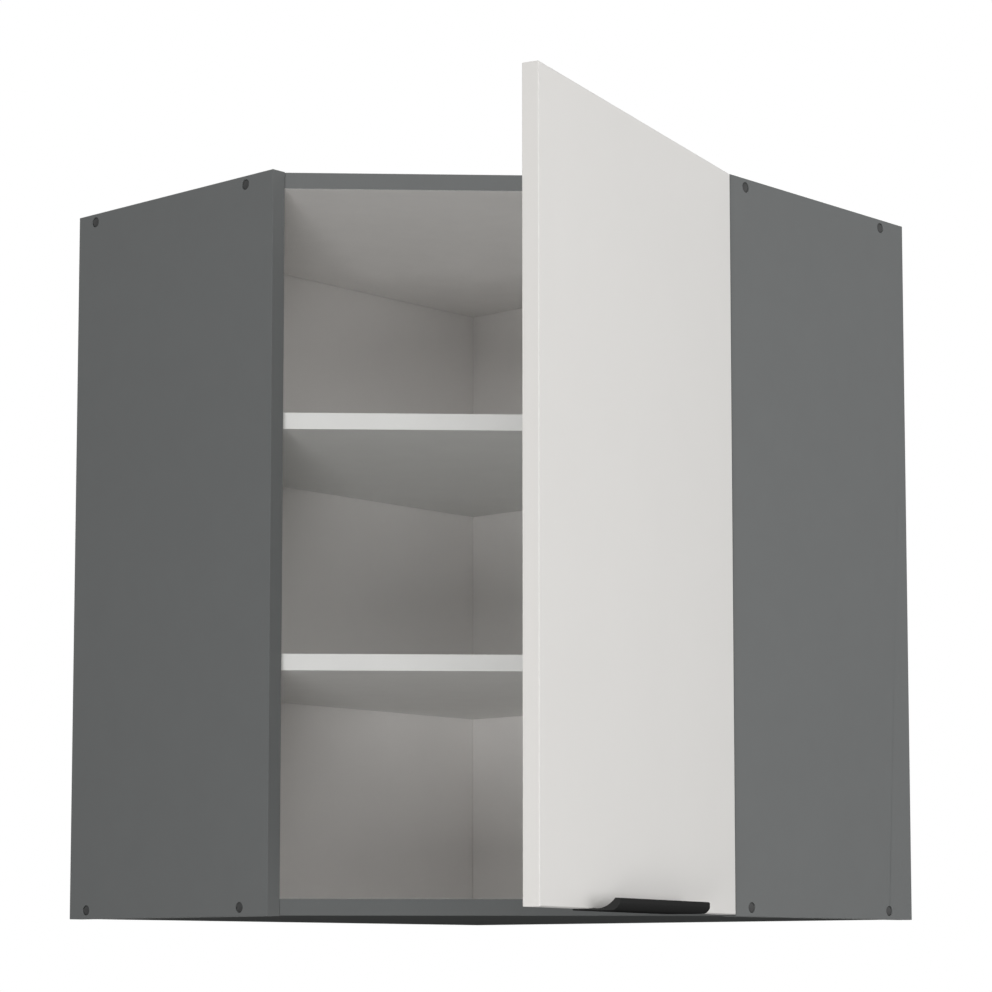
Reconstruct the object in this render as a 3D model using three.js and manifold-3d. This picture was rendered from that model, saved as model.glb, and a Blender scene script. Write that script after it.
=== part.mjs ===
/**
 * Diagonal corner wall cabinet for a kitchen, hung in the corner of a room. It has two shelves and
 * one door, which turns on two knuckle hinges let into the edges of the boards.
 *
 * Units are millimetres and +Z is up. The origin is the corner of the room at the height of the
 * cabinet's underside. +Y points into the corner and +X to the right, so the front faces -Y.
 *
 * Two groups carry most pieces. `room` has its x axis along the left wall and its y axis along the
 * right wall, so every board is square in it. `door` sits on the axis that the door turns about.
 * Its pieces are drawn with the door shut, and the group is turned by DOOR_OPEN.
 */
import * as THREE from 'three';
import { mergeVertices } from 'three/addons/utils/BufferGeometryUtils.js';
import Module from 'manifold-3d';

const wasm = await Module();
wasm.setup();

// ---------------------------------------------------------------- driving dimensions

const WALL_LENGTH = 600;
const SIDE_DEPTH = 288;
const HEIGHT = 716;
const BOARD = 16;
const GAP = 0.3;
const END_INSET = 0.5;

const SQUARE = Math.SQRT1_2;
const PANEL_SETBACK = BOARD * SQUARE;
const SHELF_SETBACK = 22;
const SHELF_CLEARANCE = 1;

const SHEET = 3;
const LEFT_SHEET_INSET = 17;
const RIGHT_SHEET_INSET = 27;
const GROOVE_DEPTH = 7;
const SHEET_IN_GROOVE = 6;

const DOOR_WIDTH = 419;
const DOOR_HEIGHT = 713;
const DOOR_THICKNESS = 16;
const DOOR_BOTTOM = 1.5;
const DOOR_GAP = 2.3;
const DOOR_EDGE_RADIUS = 0.8;
const DOOR_OPEN = THREE.MathUtils.degToRad(60.6);

// The door's axis, measured from the shut door's hinge edge and from its inner face.
const AXIS_BEYOND_EDGE = 3.6;
const AXIS_BELOW_FACE = 6;
const HINGE_HEIGHTS = [['lower_hinge', 101.5], ['upper_hinge', 614.5]];

const FRONT_LINE = -(WALL_LENGTH + SIDE_DEPTH) * SQUARE;
const INNER_FACE = WALL_LENGTH - BOARD;
const TOP_OF_BOTTOM = END_INSET + BOARD;
const UNDER_TOP = HEIGHT - END_INSET - BOARD;

// ---------------------------------------------------------------- colours

const finish = (color, roughness, metalness = 0) =>
  new THREE.MeshStandardMaterial({ color, roughness, metalness });

const GRAPHITE_BOARD = finish(0x6f7170, 0.62);
const PALE_SHEET = finish(0xe4e3df, 0.7);
const SHELF_BOARD = finish(0xe4e4e2, 0.55);
const PLAIN_WOOD = finish(0xb08d5f, 0.75);
const WHITE_DOOR = finish(0xdbdad6, 0.4);
const BLACK_METAL = finish(0x2b2b2c, 0.45, 0.6);
const NICKEL = finish(0xc3c3c0, 0.3, 1);
const ZINC = finish(0xb4b6b8, 0.42, 1);
const DARK_PLASTIC = finish(0x474847, 0.5);
const WHITE_PLASTIC = finish(0xe6e5e0, 0.5);

// ---------------------------------------------------------------- solids

/** Turn a closed three.js geometry into a manifold solid. */
function solidOf(geometry) {
  const bare = new THREE.BufferGeometry();
  bare.setAttribute('position', geometry.getAttribute('position').clone());
  if (geometry.index) bare.setIndex(geometry.index.clone());
  const merged = mergeVertices(bare, 1e-4);
  const index = merged.index.array;
  const kept = [];
  for (let i = 0; i < index.length; i += 3) {
    const [a, b, c] = [index[i], index[i + 1], index[i + 2]];
    if (a !== b && b !== c && c !== a) kept.push(a, b, c);
  }
  return new wasm.Manifold(new wasm.Mesh({
    numProp: 3,
    vertProperties: new Float32Array(merged.getAttribute('position').array),
    triVerts: new Uint32Array(kept),
  }));
}

/** Turn a manifold solid back into a three.js geometry. */
function geometryOf(solid) {
  const mesh = solid.getMesh();
  const geometry = new THREE.BufferGeometry();
  geometry.setAttribute('position', new THREE.BufferAttribute(mesh.vertProperties, 3));
  geometry.setIndex(new THREE.BufferAttribute(mesh.triVerts, 1));
  geometry.computeVertexNormals();
  return geometry;
}

/** A body with others joined to it, then others cut out of it. */
function shaped(body, { joined = [], cut = [] }) {
  let solid = solidOf(body);
  for (const piece of joined) solid = solid.add(solidOf(piece));
  for (const piece of cut) solid = solid.subtract(solidOf(piece));
  return geometryOf(solid);
}

/** A box between two opposite corners. */
function block(from, to) {
  const box = new THREE.Box3().setFromPoints([
    new THREE.Vector3(...from),
    new THREE.Vector3(...to),
  ]);
  const size = box.getSize(new THREE.Vector3());
  const centre = box.getCenter(new THREE.Vector3());
  return new THREE.BoxGeometry(size.x, size.y, size.z).translate(centre.x, centre.y, centre.z);
}

/** A closed outline of [u, v] points raised by the given depth along +Z. */
function extruded(outline, depth) {
  const shape = new THREE.Shape(outline.map(([u, v]) => new THREE.Vector2(u, v)));
  return new THREE.ExtrudeGeometry(shape, { depth, bevelEnabled: false });
}

/** A round bar of the given radius between two points. */
function bar(from, to, radius, sides = 16) {
  const start = new THREE.Vector3(...from);
  const along = new THREE.Vector3(...to).sub(start);
  const geometry = new THREE.CylinderGeometry(radius, radius, along.length(), sides);
  const turn = new THREE.Quaternion().setFromUnitVectors(
    new THREE.Vector3(0, 1, 0), along.clone().normalize());
  return geometry.applyQuaternion(turn).translate(...start.addScaledVector(along, 0.5));
}

/** A turned piece whose [radius, height] profile starts and ends on its axis, the Z axis. */
function turned(profile, sides = 14) {
  const points = profile.map(([radius, height]) => new THREE.Vector2(radius, height));
  return new THREE.LatheGeometry(points, sides).rotateX(Math.PI / 2);
}

/** Turn a piece so that its +Z runs along `direction`, and move it to `point`. */
function aimed(geometry, direction, point) {
  const turn = new THREE.Quaternion().setFromUnitVectors(
    new THREE.Vector3(0, 0, 1), new THREE.Vector3(...direction));
  return geometry.applyQuaternion(turn).translate(...point);
}

/** Points on an arc about [cx, cy], from one angle in degrees to another. */
function arc([cx, cy], radius, from, to, steps) {
  return Array.from({ length: steps + 1 }, (_, i) => {
    const angle = THREE.MathUtils.degToRad(from + ((to - from) * i) / steps);
    return [cx + radius * Math.cos(angle), cy + radius * Math.sin(angle)];
  });
}

/** The outline of a rectangle about [cx, cy] with rounded corners. */
function roundedOutline([cx, cy], width, height, radius, steps = 3) {
  const [x, y] = [width / 2 - radius, height / 2 - radius];
  return [
    ...arc([cx + x, cy - y], radius, -90, 0, steps),
    ...arc([cx + x, cy + y], radius, 0, 90, steps),
    ...arc([cx - x, cy + y], radius, 90, 180, steps),
    ...arc([cx - x, cy - y], radius, 180, 270, steps),
  ];
}

const cabinet = new THREE.Group();
const room = new THREE.Group();
room.rotation.z = THREE.MathUtils.degToRad(-135);
cabinet.add(room);

/** Add one named piece to a group. */
function add(parent, name, geometry, material) {
  const mesh = new THREE.Mesh(geometry, material);
  mesh.name = name;
  parent.add(mesh);
}

/** Points are written [along the wall, out from the wall, height] and placed on either wall. */
const onLeft = ([along, out, height]) => [along, out, height];
const onRight = ([along, out, height]) => [out, along, height];
const SIDES = [
  { side: 'left', place: onLeft, sheetInset: LEFT_SHEET_INSET },
  { side: 'right', place: onRight, sheetInset: RIGHT_SHEET_INSET },
];

/** An outline of [out from the wall, height] points, run along the wall between two places. */
function runAlongWall(place, outline, from, to) {
  const out = new THREE.Vector3(...place([0, 1, 0]));
  const up = new THREE.Vector3(0, 0, 1);
  const run = out.clone().cross(up);
  const forward = run.dot(new THREE.Vector3(...place([1, 0, 0]))) > 0;
  return extruded(outline, to - from)
    .applyMatrix4(new THREE.Matrix4().makeBasis(out, up, run))
    .translate(...place([forward ? from : to, 0, 0]));
}

// ---------------------------------------------------------------- screws through the sides

const SCREW = { headRadius: 4.6, headLength: 3.6, shankRadius: 3.2, length: 44, tip: 5 };
const CAP = { radius: 4.75, thickness: 2.2, dome: 0.7, crownDepth: 0.1 };
const HEAD_DEPTH = CAP.crownDepth + CAP.thickness + GAP;
const SCREW_ROWS = [
  ['bottom', END_INSET + BOARD / 2],
  ['top', HEIGHT - END_INSET - BOARD / 2],
];

// Both sides are drilled alike, but one is turned end for end, so its rows sit 14 mm lower.
const SCREW_COLUMNS = {
  left: [['rear', 25], ['front', 249]],
  right: [['rear', 39], ['front', 263]],
};

/** Every screw place of one side, as its name, its distance from the wall and its height. */
function screwPlaces(side) {
  return SCREW_ROWS.flatMap(([row, height]) =>
    SCREW_COLUMNS[side].map(([column, out]) => [`${column}_${row}`, out, height]));
}

/** A counterbore for the screw's head and cap. */
function headHole(place, out, height) {
  const at = (depth) => place([WALL_LENGTH - depth, out, height]);
  return bar(at(-1), at(HEAD_DEPTH + SCREW.headLength + GAP), CAP.radius + GAP, 20);
}

/** The long hole for the screw's shank, through the side and into the board's end. */
function shankHole(place, out, height) {
  const at = (depth) => place([WALL_LENGTH - depth, out, height]);
  return bar(at(HEAD_DEPTH + 1), at(HEAD_DEPTH + SCREW.length + 1), SCREW.shankRadius + GAP);
}

/** A carcass screw with a flat head, a cone under it and a pointed end. */
function carcassScrew() {
  const { headRadius, headLength, shankRadius, length, tip } = SCREW;
  return turned([
    [0, 0],
    [headRadius, 0],
    [headRadius, 1],
    [shankRadius, headLength],
    [shankRadius, length - tip],
    [0, length],
  ]);
}

/** A domed cover cap that closes the counterbore above the screw's head. */
function coverCap() {
  const { radius, thickness, dome, crownDepth } = CAP;
  return turned([
    [0, crownDepth],
    [radius * 0.5, crownDepth + dome * 0.22],
    [radius * 0.82, crownDepth + dome * 0.62],
    [radius, crownDepth + dome],
    [radius, crownDepth + thickness],
    [0, crownDepth + thickness],
  ], 20);
}

for (const { side, place } of SIDES) {
  const inward = place([-1, 0, 0]);
  for (const [spot, out, height] of screwPlaces(side)) {
    const head = place([WALL_LENGTH - HEAD_DEPTH, out, height]);
    const face = place([WALL_LENGTH, out, height]);
    add(room, `screw_${side}_${spot}`, aimed(carcassScrew(), inward, head), ZINC);
    add(room, `cap_${side}_${spot}`, aimed(coverCap(), inward, face), DARK_PLASTIC);
  }
}

// ---------------------------------------------------------------- shelves and their pins

const CLEAR_HEIGHT = UNDER_TOP - TOP_OF_BOTTOM;
const BAY = (CLEAR_HEIGHT - 2 * BOARD) / 3;
const SHELVES = [
  ['lower_shelf', TOP_OF_BOTTOM + BAY],
  ['upper_shelf', TOP_OF_BOTTOM + 2 * BAY + BOARD],
];
const PIN = { shank: 2.5, nose: 3, inBoard: 8, underShelf: 9 };
const SIDE_PINS = [['rear', 59], ['front', SIDE_DEPTH - 37]];
const CORNER_PIN_OUT = 48;

/** Height of a pin's axis under a shelf whose underside is at the given height. */
const pinHeight = (underside) => underside - PIN.nose - GAP;

/** Height of the hidden pin's axis, which runs into the middle of a shelf's rear edge. */
const cornerPinHeight = (underside) => underside + BOARD / 2;

/** A shelf pin: a thin shank in the board and a thicker nose that the shelf lies on. */
function shelfPin() {
  return turned([
    [0, -PIN.underShelf],
    [PIN.nose - 0.6, -PIN.underShelf],
    [PIN.nose, -PIN.underShelf + 0.6],
    [PIN.nose, -GAP],
    [PIN.shank, -GAP],
    [PIN.shank, PIN.inBoard],
    [0, PIN.inBoard],
  ], 12);
}

/** The hole that takes a shelf pin's shank, from one side of the face to the other. */
function pinHole(from, to) {
  return bar(from, to, PIN.shank + GAP, 12);
}

/** A board with the cabinet's five-sided plan, from its rear corner to its diagonal front. */
function diagonalBoard([rearX, rearY], end, setback, underside) {
  const diagonal = WALL_LENGTH + SIDE_DEPTH - setback / SQUARE;
  return extruded([
    [rearX, rearY],
    [end, rearY],
    [end, diagonal - end],
    [diagonal - end, end],
    [rearX, end],
  ], BOARD).translate(0, 0, underside);
}

const SHELF_REAR = [
  RIGHT_SHEET_INSET + SHEET + SHELF_CLEARANCE,
  LEFT_SHEET_INSET + SHEET + SHELF_CLEARANCE,
];

for (const [name, underside] of SHELVES) {
  const height = pinHeight(underside);
  const cornerHeight = cornerPinHeight(underside);
  const face = RIGHT_SHEET_INSET + SHEET;
  const bore = bar(
    [face, CORNER_PIN_OUT, cornerHeight],
    [face + PIN.underShelf + 1, CORNER_PIN_OUT, cornerHeight],
    PIN.nose + GAP, 12);
  const end = INNER_FACE - SHELF_CLEARANCE;
  const board = diagonalBoard(SHELF_REAR, end, SHELF_SETBACK, underside);
  add(room, name, shaped(board, { cut: [bore] }), SHELF_BOARD);
  for (const { side, place } of SIDES) {
    for (const [spot, out] of SIDE_PINS) {
      const pin = aimed(shelfPin(), place([1, 0, 0]), place([INNER_FACE, out, height]));
      add(room, `${name}_pin_${side}_${spot}`, pin, NICKEL);
    }
  }
  const corner = [face, CORNER_PIN_OUT, cornerHeight];
  add(room, `${name}_pin_corner`, aimed(shelfPin(), [-1, 0, 0], corner), NICKEL);
}

// ---------------------------------------------------------------- hinge sizes

// A leaf is sunk flush in its board's edge. Its plate is as wide as the recess less two gaps.
const LEAF = { width: 12, height: 96, sheet: 1.2, recess: 1.5, corner: 2, screwSpread: 38 };
const KNUCKLE = { count: 5, run: 56, radius: 2.9, bore: 1.5, pin: 1.2, web: 2.6 };
const HINGE_SCREW = { head: 3, shank: 1.6, sink: 0.05, cone: 1.4, length: 20 };

const HINGE_EDGE = DOOR_WIDTH / 2;
const DOOR_INNER_LINE = PANEL_SETBACK - DOOR_GAP;
const DOOR_AXIS = new THREE.Vector3(
  HINGE_EDGE + AXIS_BEYOND_EDGE, FRONT_LINE + DOOR_INNER_LINE - AXIS_BELOW_FACE, 0);
const AXIS_IN_ROOM = DOOR_AXIS.clone().applyEuler(new THREE.Euler(0, 0, -room.rotation.z));

/** A rounded plate that lies across x, from x0 to x1, about the given y. */
function leafPlate(x0, x1, y, width, height, radius) {
  const basis = new THREE.Matrix4().makeBasis(
    new THREE.Vector3(0, 1, 0), new THREE.Vector3(0, 0, 1), new THREE.Vector3(1, 0, 0));
  return extruded(roundedOutline([y, 0], width, height, radius), x1 - x0)
    .applyMatrix4(basis)
    .translate(x0, 0, 0);
}

/** A countersunk screw along +Z whose head is flush with a face at height 0. */
function countersunk({ head, shank, sink, cone, length }, grow = 0) {
  return turned([
    [0, sink - (grow > 0 ? 2 : 0)],
    [head + grow, sink - (grow > 0 ? 2 : 0)],
    [head + grow, sink],
    [shank + grow, sink + cone],
    [shank + grow, length - 2.5],
    [0, length + grow],
  ], 12);
}

/** The recess and the two screw holes that a leaf needs in a board's edge at x = face. */
function leafSocket(face, y, height) {
  const recess = leafPlate(
    face - LEAF.recess, face + 1, y, LEAF.width + 2 * GAP, LEAF.height + 2 * GAP, LEAF.corner);
  const holes = [-1, 1].map((way) => bar(
    [face - HINGE_SCREW.length - 1, y, way * LEAF.screwSpread],
    [face, y, way * LEAF.screwSpread],
    HINGE_SCREW.shank + GAP, 12));
  return [recess, ...holes].map((piece) => piece.translate(0, 0, height));
}

// ---------------------------------------------------------------- boards of the carcass

const HANGER = { width: 17, depth: 40, height: 46, belowTop: 6, corner: 3, dial: 3.4 };
const HOOK = { sheet: 2.5, height: 14, drop: 10, lip: 3, fromWall: 3, inHousing: 26, below: 9 };
const HANGER_TOP = UNDER_TOP - HANGER.belowTop;
const HOOK_TOP = HANGER_TOP - HOOK.below;
const HOOK_ALONG = INNER_FACE - GAP - HANGER.width / 2;
const HOOK_SLOT = { width: 10, above: 3, below: 25 };

/** One side board, with its sheet groove, screw holes, pin holes and any hinge recesses. */
function sidePanel({ side, place, sheetInset }) {
  const groove = block(
    place([INNER_FACE - 1, sheetInset - GAP, -1]),
    place([INNER_FACE + GROOVE_DEPTH, sheetInset + SHEET + GAP, HEIGHT + 1]));
  const screws = screwPlaces(side).flatMap(([, out, height]) => [
    headHole(place, out, height),
    shankHole(place, out, height),
  ]);
  const pins = SHELVES.flatMap(([, underside]) => SIDE_PINS.map(([, out]) => pinHole(
    place([INNER_FACE - 1, out, pinHeight(underside)]),
    place([INNER_FACE + PIN.inBoard + 1, out, pinHeight(underside)]))));
  const sockets = HINGE_HEIGHTS.flatMap(([, height]) =>
    leafSocket(SIDE_DEPTH, INNER_FACE + BOARD / 2, height));
  const board = block(place([INNER_FACE, 0, 0]), place([WALL_LENGTH, SIDE_DEPTH, HEIGHT]));
  return shaped(board, {
    cut: [groove, ...screws, ...pins, ...(side === 'right' ? sockets : [])],
  });
}

/** The top or bottom board, grooved for both back sheets between two heights. */
function endPanel(underside, grooveFrom, grooveTo) {
  const end = INNER_FACE - GAP;
  const [x, y] = [RIGHT_SHEET_INSET, LEFT_SHEET_INSET];
  const grooves = [
    block([x - GAP, y - GAP, grooveFrom], [end + 1, y + SHEET + GAP, grooveTo]),
    block([x - GAP, y - GAP, grooveFrom], [x + SHEET + GAP, end + 1, grooveTo]),
  ];
  const screws = SIDES.flatMap(({ side, place }) =>
    screwPlaces(side).map(([, out, height]) => shankHole(place, out, height)));
  return shaped(diagonalBoard([0, 0], end, PANEL_SETBACK, underside), {
    cut: [...grooves, ...screws],
  });
}

/** The cut in a back sheet that a hanger's hook passes through. */
function hookSlot({ place, sheetInset }) {
  return block(
    place([HOOK_ALONG - HOOK_SLOT.width / 2, sheetInset - 1, HOOK_TOP - HOOK_SLOT.below]),
    place([
      HOOK_ALONG + HOOK_SLOT.width / 2,
      sheetInset + SHEET + 1,
      HOOK_TOP + HOOK_SLOT.above,
    ]));
}

const SHEET_BOTTOM = TOP_OF_BOTTOM - SHEET_IN_GROOVE;
const SHEET_TOP = UNDER_TOP + SHEET_IN_GROOVE;
const SHEET_END = INNER_FACE + SHEET_IN_GROOVE;

/** The holes of the corner pins, between two distances from the right wall. */
const cornerPinHoles = (from, to) => SHELVES.map(([, underside]) => pinHole(
  [from, CORNER_PIN_OUT, cornerPinHeight(underside)],
  [to, CORNER_PIN_OUT, cornerPinHeight(underside)]));

for (const half of SIDES) {
  add(room, `${half.side}_side_panel`, sidePanel(half), GRAPHITE_BOARD);
}
add(room, 'bottom_panel',
  endPanel(END_INSET, TOP_OF_BOTTOM - GROOVE_DEPTH, TOP_OF_BOTTOM + 1), GRAPHITE_BOARD);
add(room, 'top_panel',
  endPanel(UNDER_TOP, UNDER_TOP - 1, UNDER_TOP + GROOVE_DEPTH), GRAPHITE_BOARD);

const leftSheet = block(
  [RIGHT_SHEET_INSET, LEFT_SHEET_INSET, SHEET_BOTTOM],
  [SHEET_END, LEFT_SHEET_INSET + SHEET, SHEET_TOP]);
const rightSheet = block(
  [RIGHT_SHEET_INSET, LEFT_SHEET_INSET + SHEET + GAP, SHEET_BOTTOM],
  [RIGHT_SHEET_INSET + SHEET, SHEET_END, SHEET_TOP]);
add(room, 'back_sheet_left', shaped(leftSheet, { cut: [hookSlot(SIDES[0])] }), PALE_SHEET);
add(room, 'back_sheet_right', shaped(rightSheet, {
  cut: [
    hookSlot(SIDES[1]),
    ...cornerPinHoles(RIGHT_SHEET_INSET - 1, RIGHT_SHEET_INSET + SHEET + 1),
  ],
}), PALE_SHEET);

// The corner post stands behind the right sheet and takes the corner pins of the shelves.
const POST = { width: 75, fromWall: 1 };
const POST_FACE = RIGHT_SHEET_INSET - GAP;
const postBlock = block(
  [POST_FACE - BOARD, POST.fromWall, TOP_OF_BOTTOM + GAP],
  [POST_FACE, POST.fromWall + POST.width, UNDER_TOP - GAP]);
add(room, 'corner_post', shaped(postBlock, {
  cut: cornerPinHoles(RIGHT_SHEET_INSET + SHEET - PIN.inBoard - 1, POST_FACE + 1),
}), PLAIN_WOOD);

// ---------------------------------------------------------------- hangers

/** A hanger's housing: rounded at the front, open at the back for the hook, with two dials. */
function hangerHousing({ place, sheetInset }) {
  const back = sheetInset + SHEET + GAP;
  const front = back + HANGER.depth;
  const bottom = HANGER_TOP - HANGER.height;
  const r = HANGER.corner;
  const outline = [
    [back, bottom],
    ...arc([front - r, bottom + r], r, -90, 0, 3),
    ...arc([front - r, HANGER_TOP - r], r, 0, 90, 3),
    [back, HANGER_TOP],
  ];
  const body = runAlongWall(
    place, outline, INNER_FACE - GAP - HANGER.width, INNER_FACE - GAP);
  const pocket = block(
    place([HOOK_ALONG - HOOK.sheet / 2 - 0.5, back - 1, HOOK_TOP - HOOK.height - 4]),
    place([HOOK_ALONG + HOOK.sheet / 2 + 0.5, back + HOOK.inHousing + 4, HOOK_TOP + 3]));
  const dials = [0.28, 0.72].map((share) => {
    const height = bottom + HANGER.height * share;
    return bar(
      place([HOOK_ALONG, front - 2.5, height]), place([HOOK_ALONG, front + 1, height]),
      HANGER.dial);
  });
  return shaped(body, { cut: [pocket, ...dials] });
}

/** A hanger's hook: a steel plate that runs back through the sheet and drops over a wall rail. */
function hangerHook({ place, sheetInset }) {
  const inside = sheetInset + SHEET + GAP + HOOK.inHousing;
  const outline = [
    [HOOK.fromWall, HOOK_TOP - HOOK.height - HOOK.drop],
    [HOOK.fromWall + HOOK.lip, HOOK_TOP - HOOK.height - HOOK.drop],
    [HOOK.fromWall + HOOK.lip, HOOK_TOP - HOOK.height],
    [inside, HOOK_TOP - HOOK.height],
    [inside, HOOK_TOP],
    ...arc([HOOK.fromWall + 4, HOOK_TOP - 4], 4, 90, 180, 3),
  ];
  return runAlongWall(
    place, outline, HOOK_ALONG - HOOK.sheet / 2, HOOK_ALONG + HOOK.sheet / 2);
}

for (const half of SIDES) {
  add(room, `hanger_${half.side}_housing`, hangerHousing(half), WHITE_PLASTIC);
  add(room, `hanger_${half.side}_hook`, hangerHook(half), ZINC);
}

// ---------------------------------------------------------------- door

const door = new THREE.Group();
door.position.copy(DOOR_AXIS);
door.rotation.z = DOOR_OPEN;
cabinet.add(door);

// In the door's group the origin is the axis, and the shut door's outer face looks along -Y.
const INNER = AXIS_BELOW_FACE;
const OUTER = INNER - DOOR_THICKNESS;
const EDGE = -AXIS_BEYOND_EDGE;
const FREE_EDGE = EDGE - DOOR_WIDTH;
const LEAF_ON_DOOR = (INNER + OUTER) / 2;

const HANDLE = {
  fromFreeEdge: 99, length: 196.5, sheet: 1.2, legHeight: 18,
  gripStart: 3, gripRadius: 25, gripTurn: 51.3, lipCorner: 2.2,
  noseDepth: 26.5, noseRadius: 9.7, noseLean: 18, planCorner: 1.5,
};
const HANDLE_SCREW = { head: 3.4, shank: 1.7, sink: 0.05, cone: 1.3, length: 13.5 };
const HANDLE_SCREW_INSET = 40;
const HANDLE_SCREW_HEIGHT = 12;
const HANDLE_FROM = FREE_EDGE + HANDLE.fromFreeEdge;
const HANDLE_TO = HANDLE_FROM + HANDLE.length;
const LEG_FACE = INNER + GAP + HANDLE.sheet;
const HANDLE_SCREWS = [
  ['left', HANDLE_FROM + HANDLE_SCREW_INSET],
  ['right', HANDLE_TO - HANDLE_SCREW_INSET],
];

/** The door's board, with softened edges, two hinge recesses and its screw holes. */
function doorBoard() {
  const r = DOOR_EDGE_RADIUS;
  const face = new THREE.Shape([
    new THREE.Vector2(FREE_EDGE + r, DOOR_BOTTOM + r),
    new THREE.Vector2(EDGE - r, DOOR_BOTTOM + r),
    new THREE.Vector2(EDGE - r, DOOR_BOTTOM + DOOR_HEIGHT - r),
    new THREE.Vector2(FREE_EDGE + r, DOOR_BOTTOM + DOOR_HEIGHT - r),
  ]);
  const board = new THREE.ExtrudeGeometry(face, {
    depth: DOOR_THICKNESS - 2 * r, bevelSize: r, bevelThickness: r, bevelSegments: 2,
  });
  board.rotateX(Math.PI / 2).translate(0, INNER - r, 0);
  const sockets = HINGE_HEIGHTS.flatMap(([, height]) => leafSocket(EDGE, LEAF_ON_DOOR, height));
  const pilots = HANDLE_SCREWS.map(([, x]) => bar(
    [x, LEG_FACE - HANDLE_SCREW.length - 1, HANDLE_SCREW_HEIGHT],
    [x, INNER + 1, HANDLE_SCREW_HEIGHT],
    HANDLE_SCREW.shank + GAP, 12));
  return shaped(board, { cut: [...sockets, ...pilots] });
}

/** The edge pull: a leg on the door's inner face, a plate under its edge and a hooked grip. */
function edgePull() {
  const plateTop = DOOR_BOTTOM - GAP;
  const plateBottom = plateTop - HANDLE.sheet;
  const legFront = DOOR_THICKNESS + GAP;
  const legBack = legFront + HANDLE.sheet;
  const grip = arc(
    [HANDLE.gripStart, plateTop + HANDLE.gripRadius], HANDLE.gripRadius,
    -90, HANDLE.gripTurn - 90, 8);
  const tipHeight = grip.at(-1)[1];
  const lip = arc(
    [HANDLE.noseDepth - HANDLE.lipCorner, tipHeight - HANDLE.lipCorner], HANDLE.lipCorner,
    90, 0, 4);
  // The nose's arc leans in from the lip's face, which leaves a crease where the two meet.
  const lean = THREE.MathUtils.degToRad(HANDLE.noseLean);
  const nose = arc(
    [
      HANDLE.noseDepth - HANDLE.noseRadius * Math.cos(lean),
      plateBottom + HANDLE.noseRadius * Math.cos(lean),
    ],
    HANDLE.noseRadius, -HANDLE.noseLean, HANDLE.noseLean - 90, 6);
  // The section's points are [out from the door's outer face, height].
  const section = [
    [-legBack, plateBottom],
    [-legBack, plateTop + HANDLE.legHeight],
    [-legFront, plateTop + HANDLE.legHeight],
    [-legFront, plateTop],
    ...grip,
    ...lip,
    ...nose,
  ];
  const outward = new THREE.Matrix4().makeBasis(
    new THREE.Vector3(0, -1, 0), new THREE.Vector3(0, 0, 1), new THREE.Vector3(-1, 0, 0));
  const bent = extruded(section, HANDLE.length)
    .applyMatrix4(outward)
    .translate(HANDLE_TO, OUTER, 0);
  const r = HANDLE.planCorner;
  const nearest = OUTER - HANDLE.noseDepth;
  const footprint = extruded([
    [HANDLE_FROM, LEG_FACE + 1],
    ...arc([HANDLE_FROM + r, nearest + r], r, 180, 270, 3),
    ...arc([HANDLE_TO - r, nearest + r], r, 270, 360, 3),
    [HANDLE_TO, LEG_FACE + 1],
  ], 60).translate(0, 0, -20);
  let solid = solidOf(bent).intersect(solidOf(footprint));
  for (const [, x] of HANDLE_SCREWS) {
    solid = solid.subtract(solidOf(atHandleScrew(countersunk(HANDLE_SCREW, GAP), x)));
  }
  return geometryOf(solid);
}

/** Put a screw at its place in the handle's leg, running into the door. */
function atHandleScrew(screw, x) {
  return aimed(screw, [0, -1, 0], [x, LEG_FACE, HANDLE_SCREW_HEIGHT]);
}

add(door, 'door_panel', doorBoard(), WHITE_DOOR);
add(door, 'handle', edgePull(), BLACK_METAL);
for (const [spot, x] of HANDLE_SCREWS) {
  add(door, `handle_screw_${spot}`, atHandleScrew(countersunk(HANDLE_SCREW), x), BLACK_METAL);
}

// ---------------------------------------------------------------- hinges

/** The two heights between which a knuckle lies, counted from the bottom one. */
function knuckleSpan(number) {
  const length = (KNUCKLE.run - (KNUCKLE.count - 1) * GAP) / KNUCKLE.count;
  const from = -KNUCKLE.run / 2 + number * (length + GAP);
  return [from, from + length];
}

/** A leaf about its pin on the Z axis: a plate across x at -reach, and its rolled knuckles. */
function hingeLeaf(reach, y, numbers) {
  const plate = leafPlate(-reach - LEAF.sheet, -reach, y, LEAF.width, LEAF.height, LEAF.corner);
  const knuckles = numbers.map(knuckleSpan).flatMap(([from, to]) => [
    bar([0, 0, from], [0, 0, to], KNUCKLE.radius, 20),
    block(
      [-reach - LEAF.sheet / 2, -KNUCKLE.web / 2, from],
      [-(KNUCKLE.bore + KNUCKLE.radius) / 2, KNUCKLE.web / 2, to]),
  ]);
  const seats = [-1, 1].map((way) => aimed(
    countersunk(HINGE_SCREW, GAP), [-1, 0, 0], [-reach, y, way * LEAF.screwSpread]));
  const bore = bar([0, 0, -KNUCKLE.run], [0, 0, KNUCKLE.run], KNUCKLE.bore);
  return shaped(plate, { joined: knuckles, cut: [...seats, bore] });
}

/** The hinge's pin, with a rounded head at each end of the run of knuckles. */
function hingePin() {
  const inner = KNUCKLE.run / 2 + GAP;
  const half = [
    [KNUCKLE.pin, inner],
    [KNUCKLE.pin * 2, inner],
    [KNUCKLE.pin * 2, inner + 0.7],
    [KNUCKLE.pin * 1.6, inner + 1.2],
    [0, inner + 1.4],
  ];
  const mirrored = half.map(([radius, height]) => [radius, -height]).reverse();
  return turned([...mirrored, ...half], 16);
}

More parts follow.
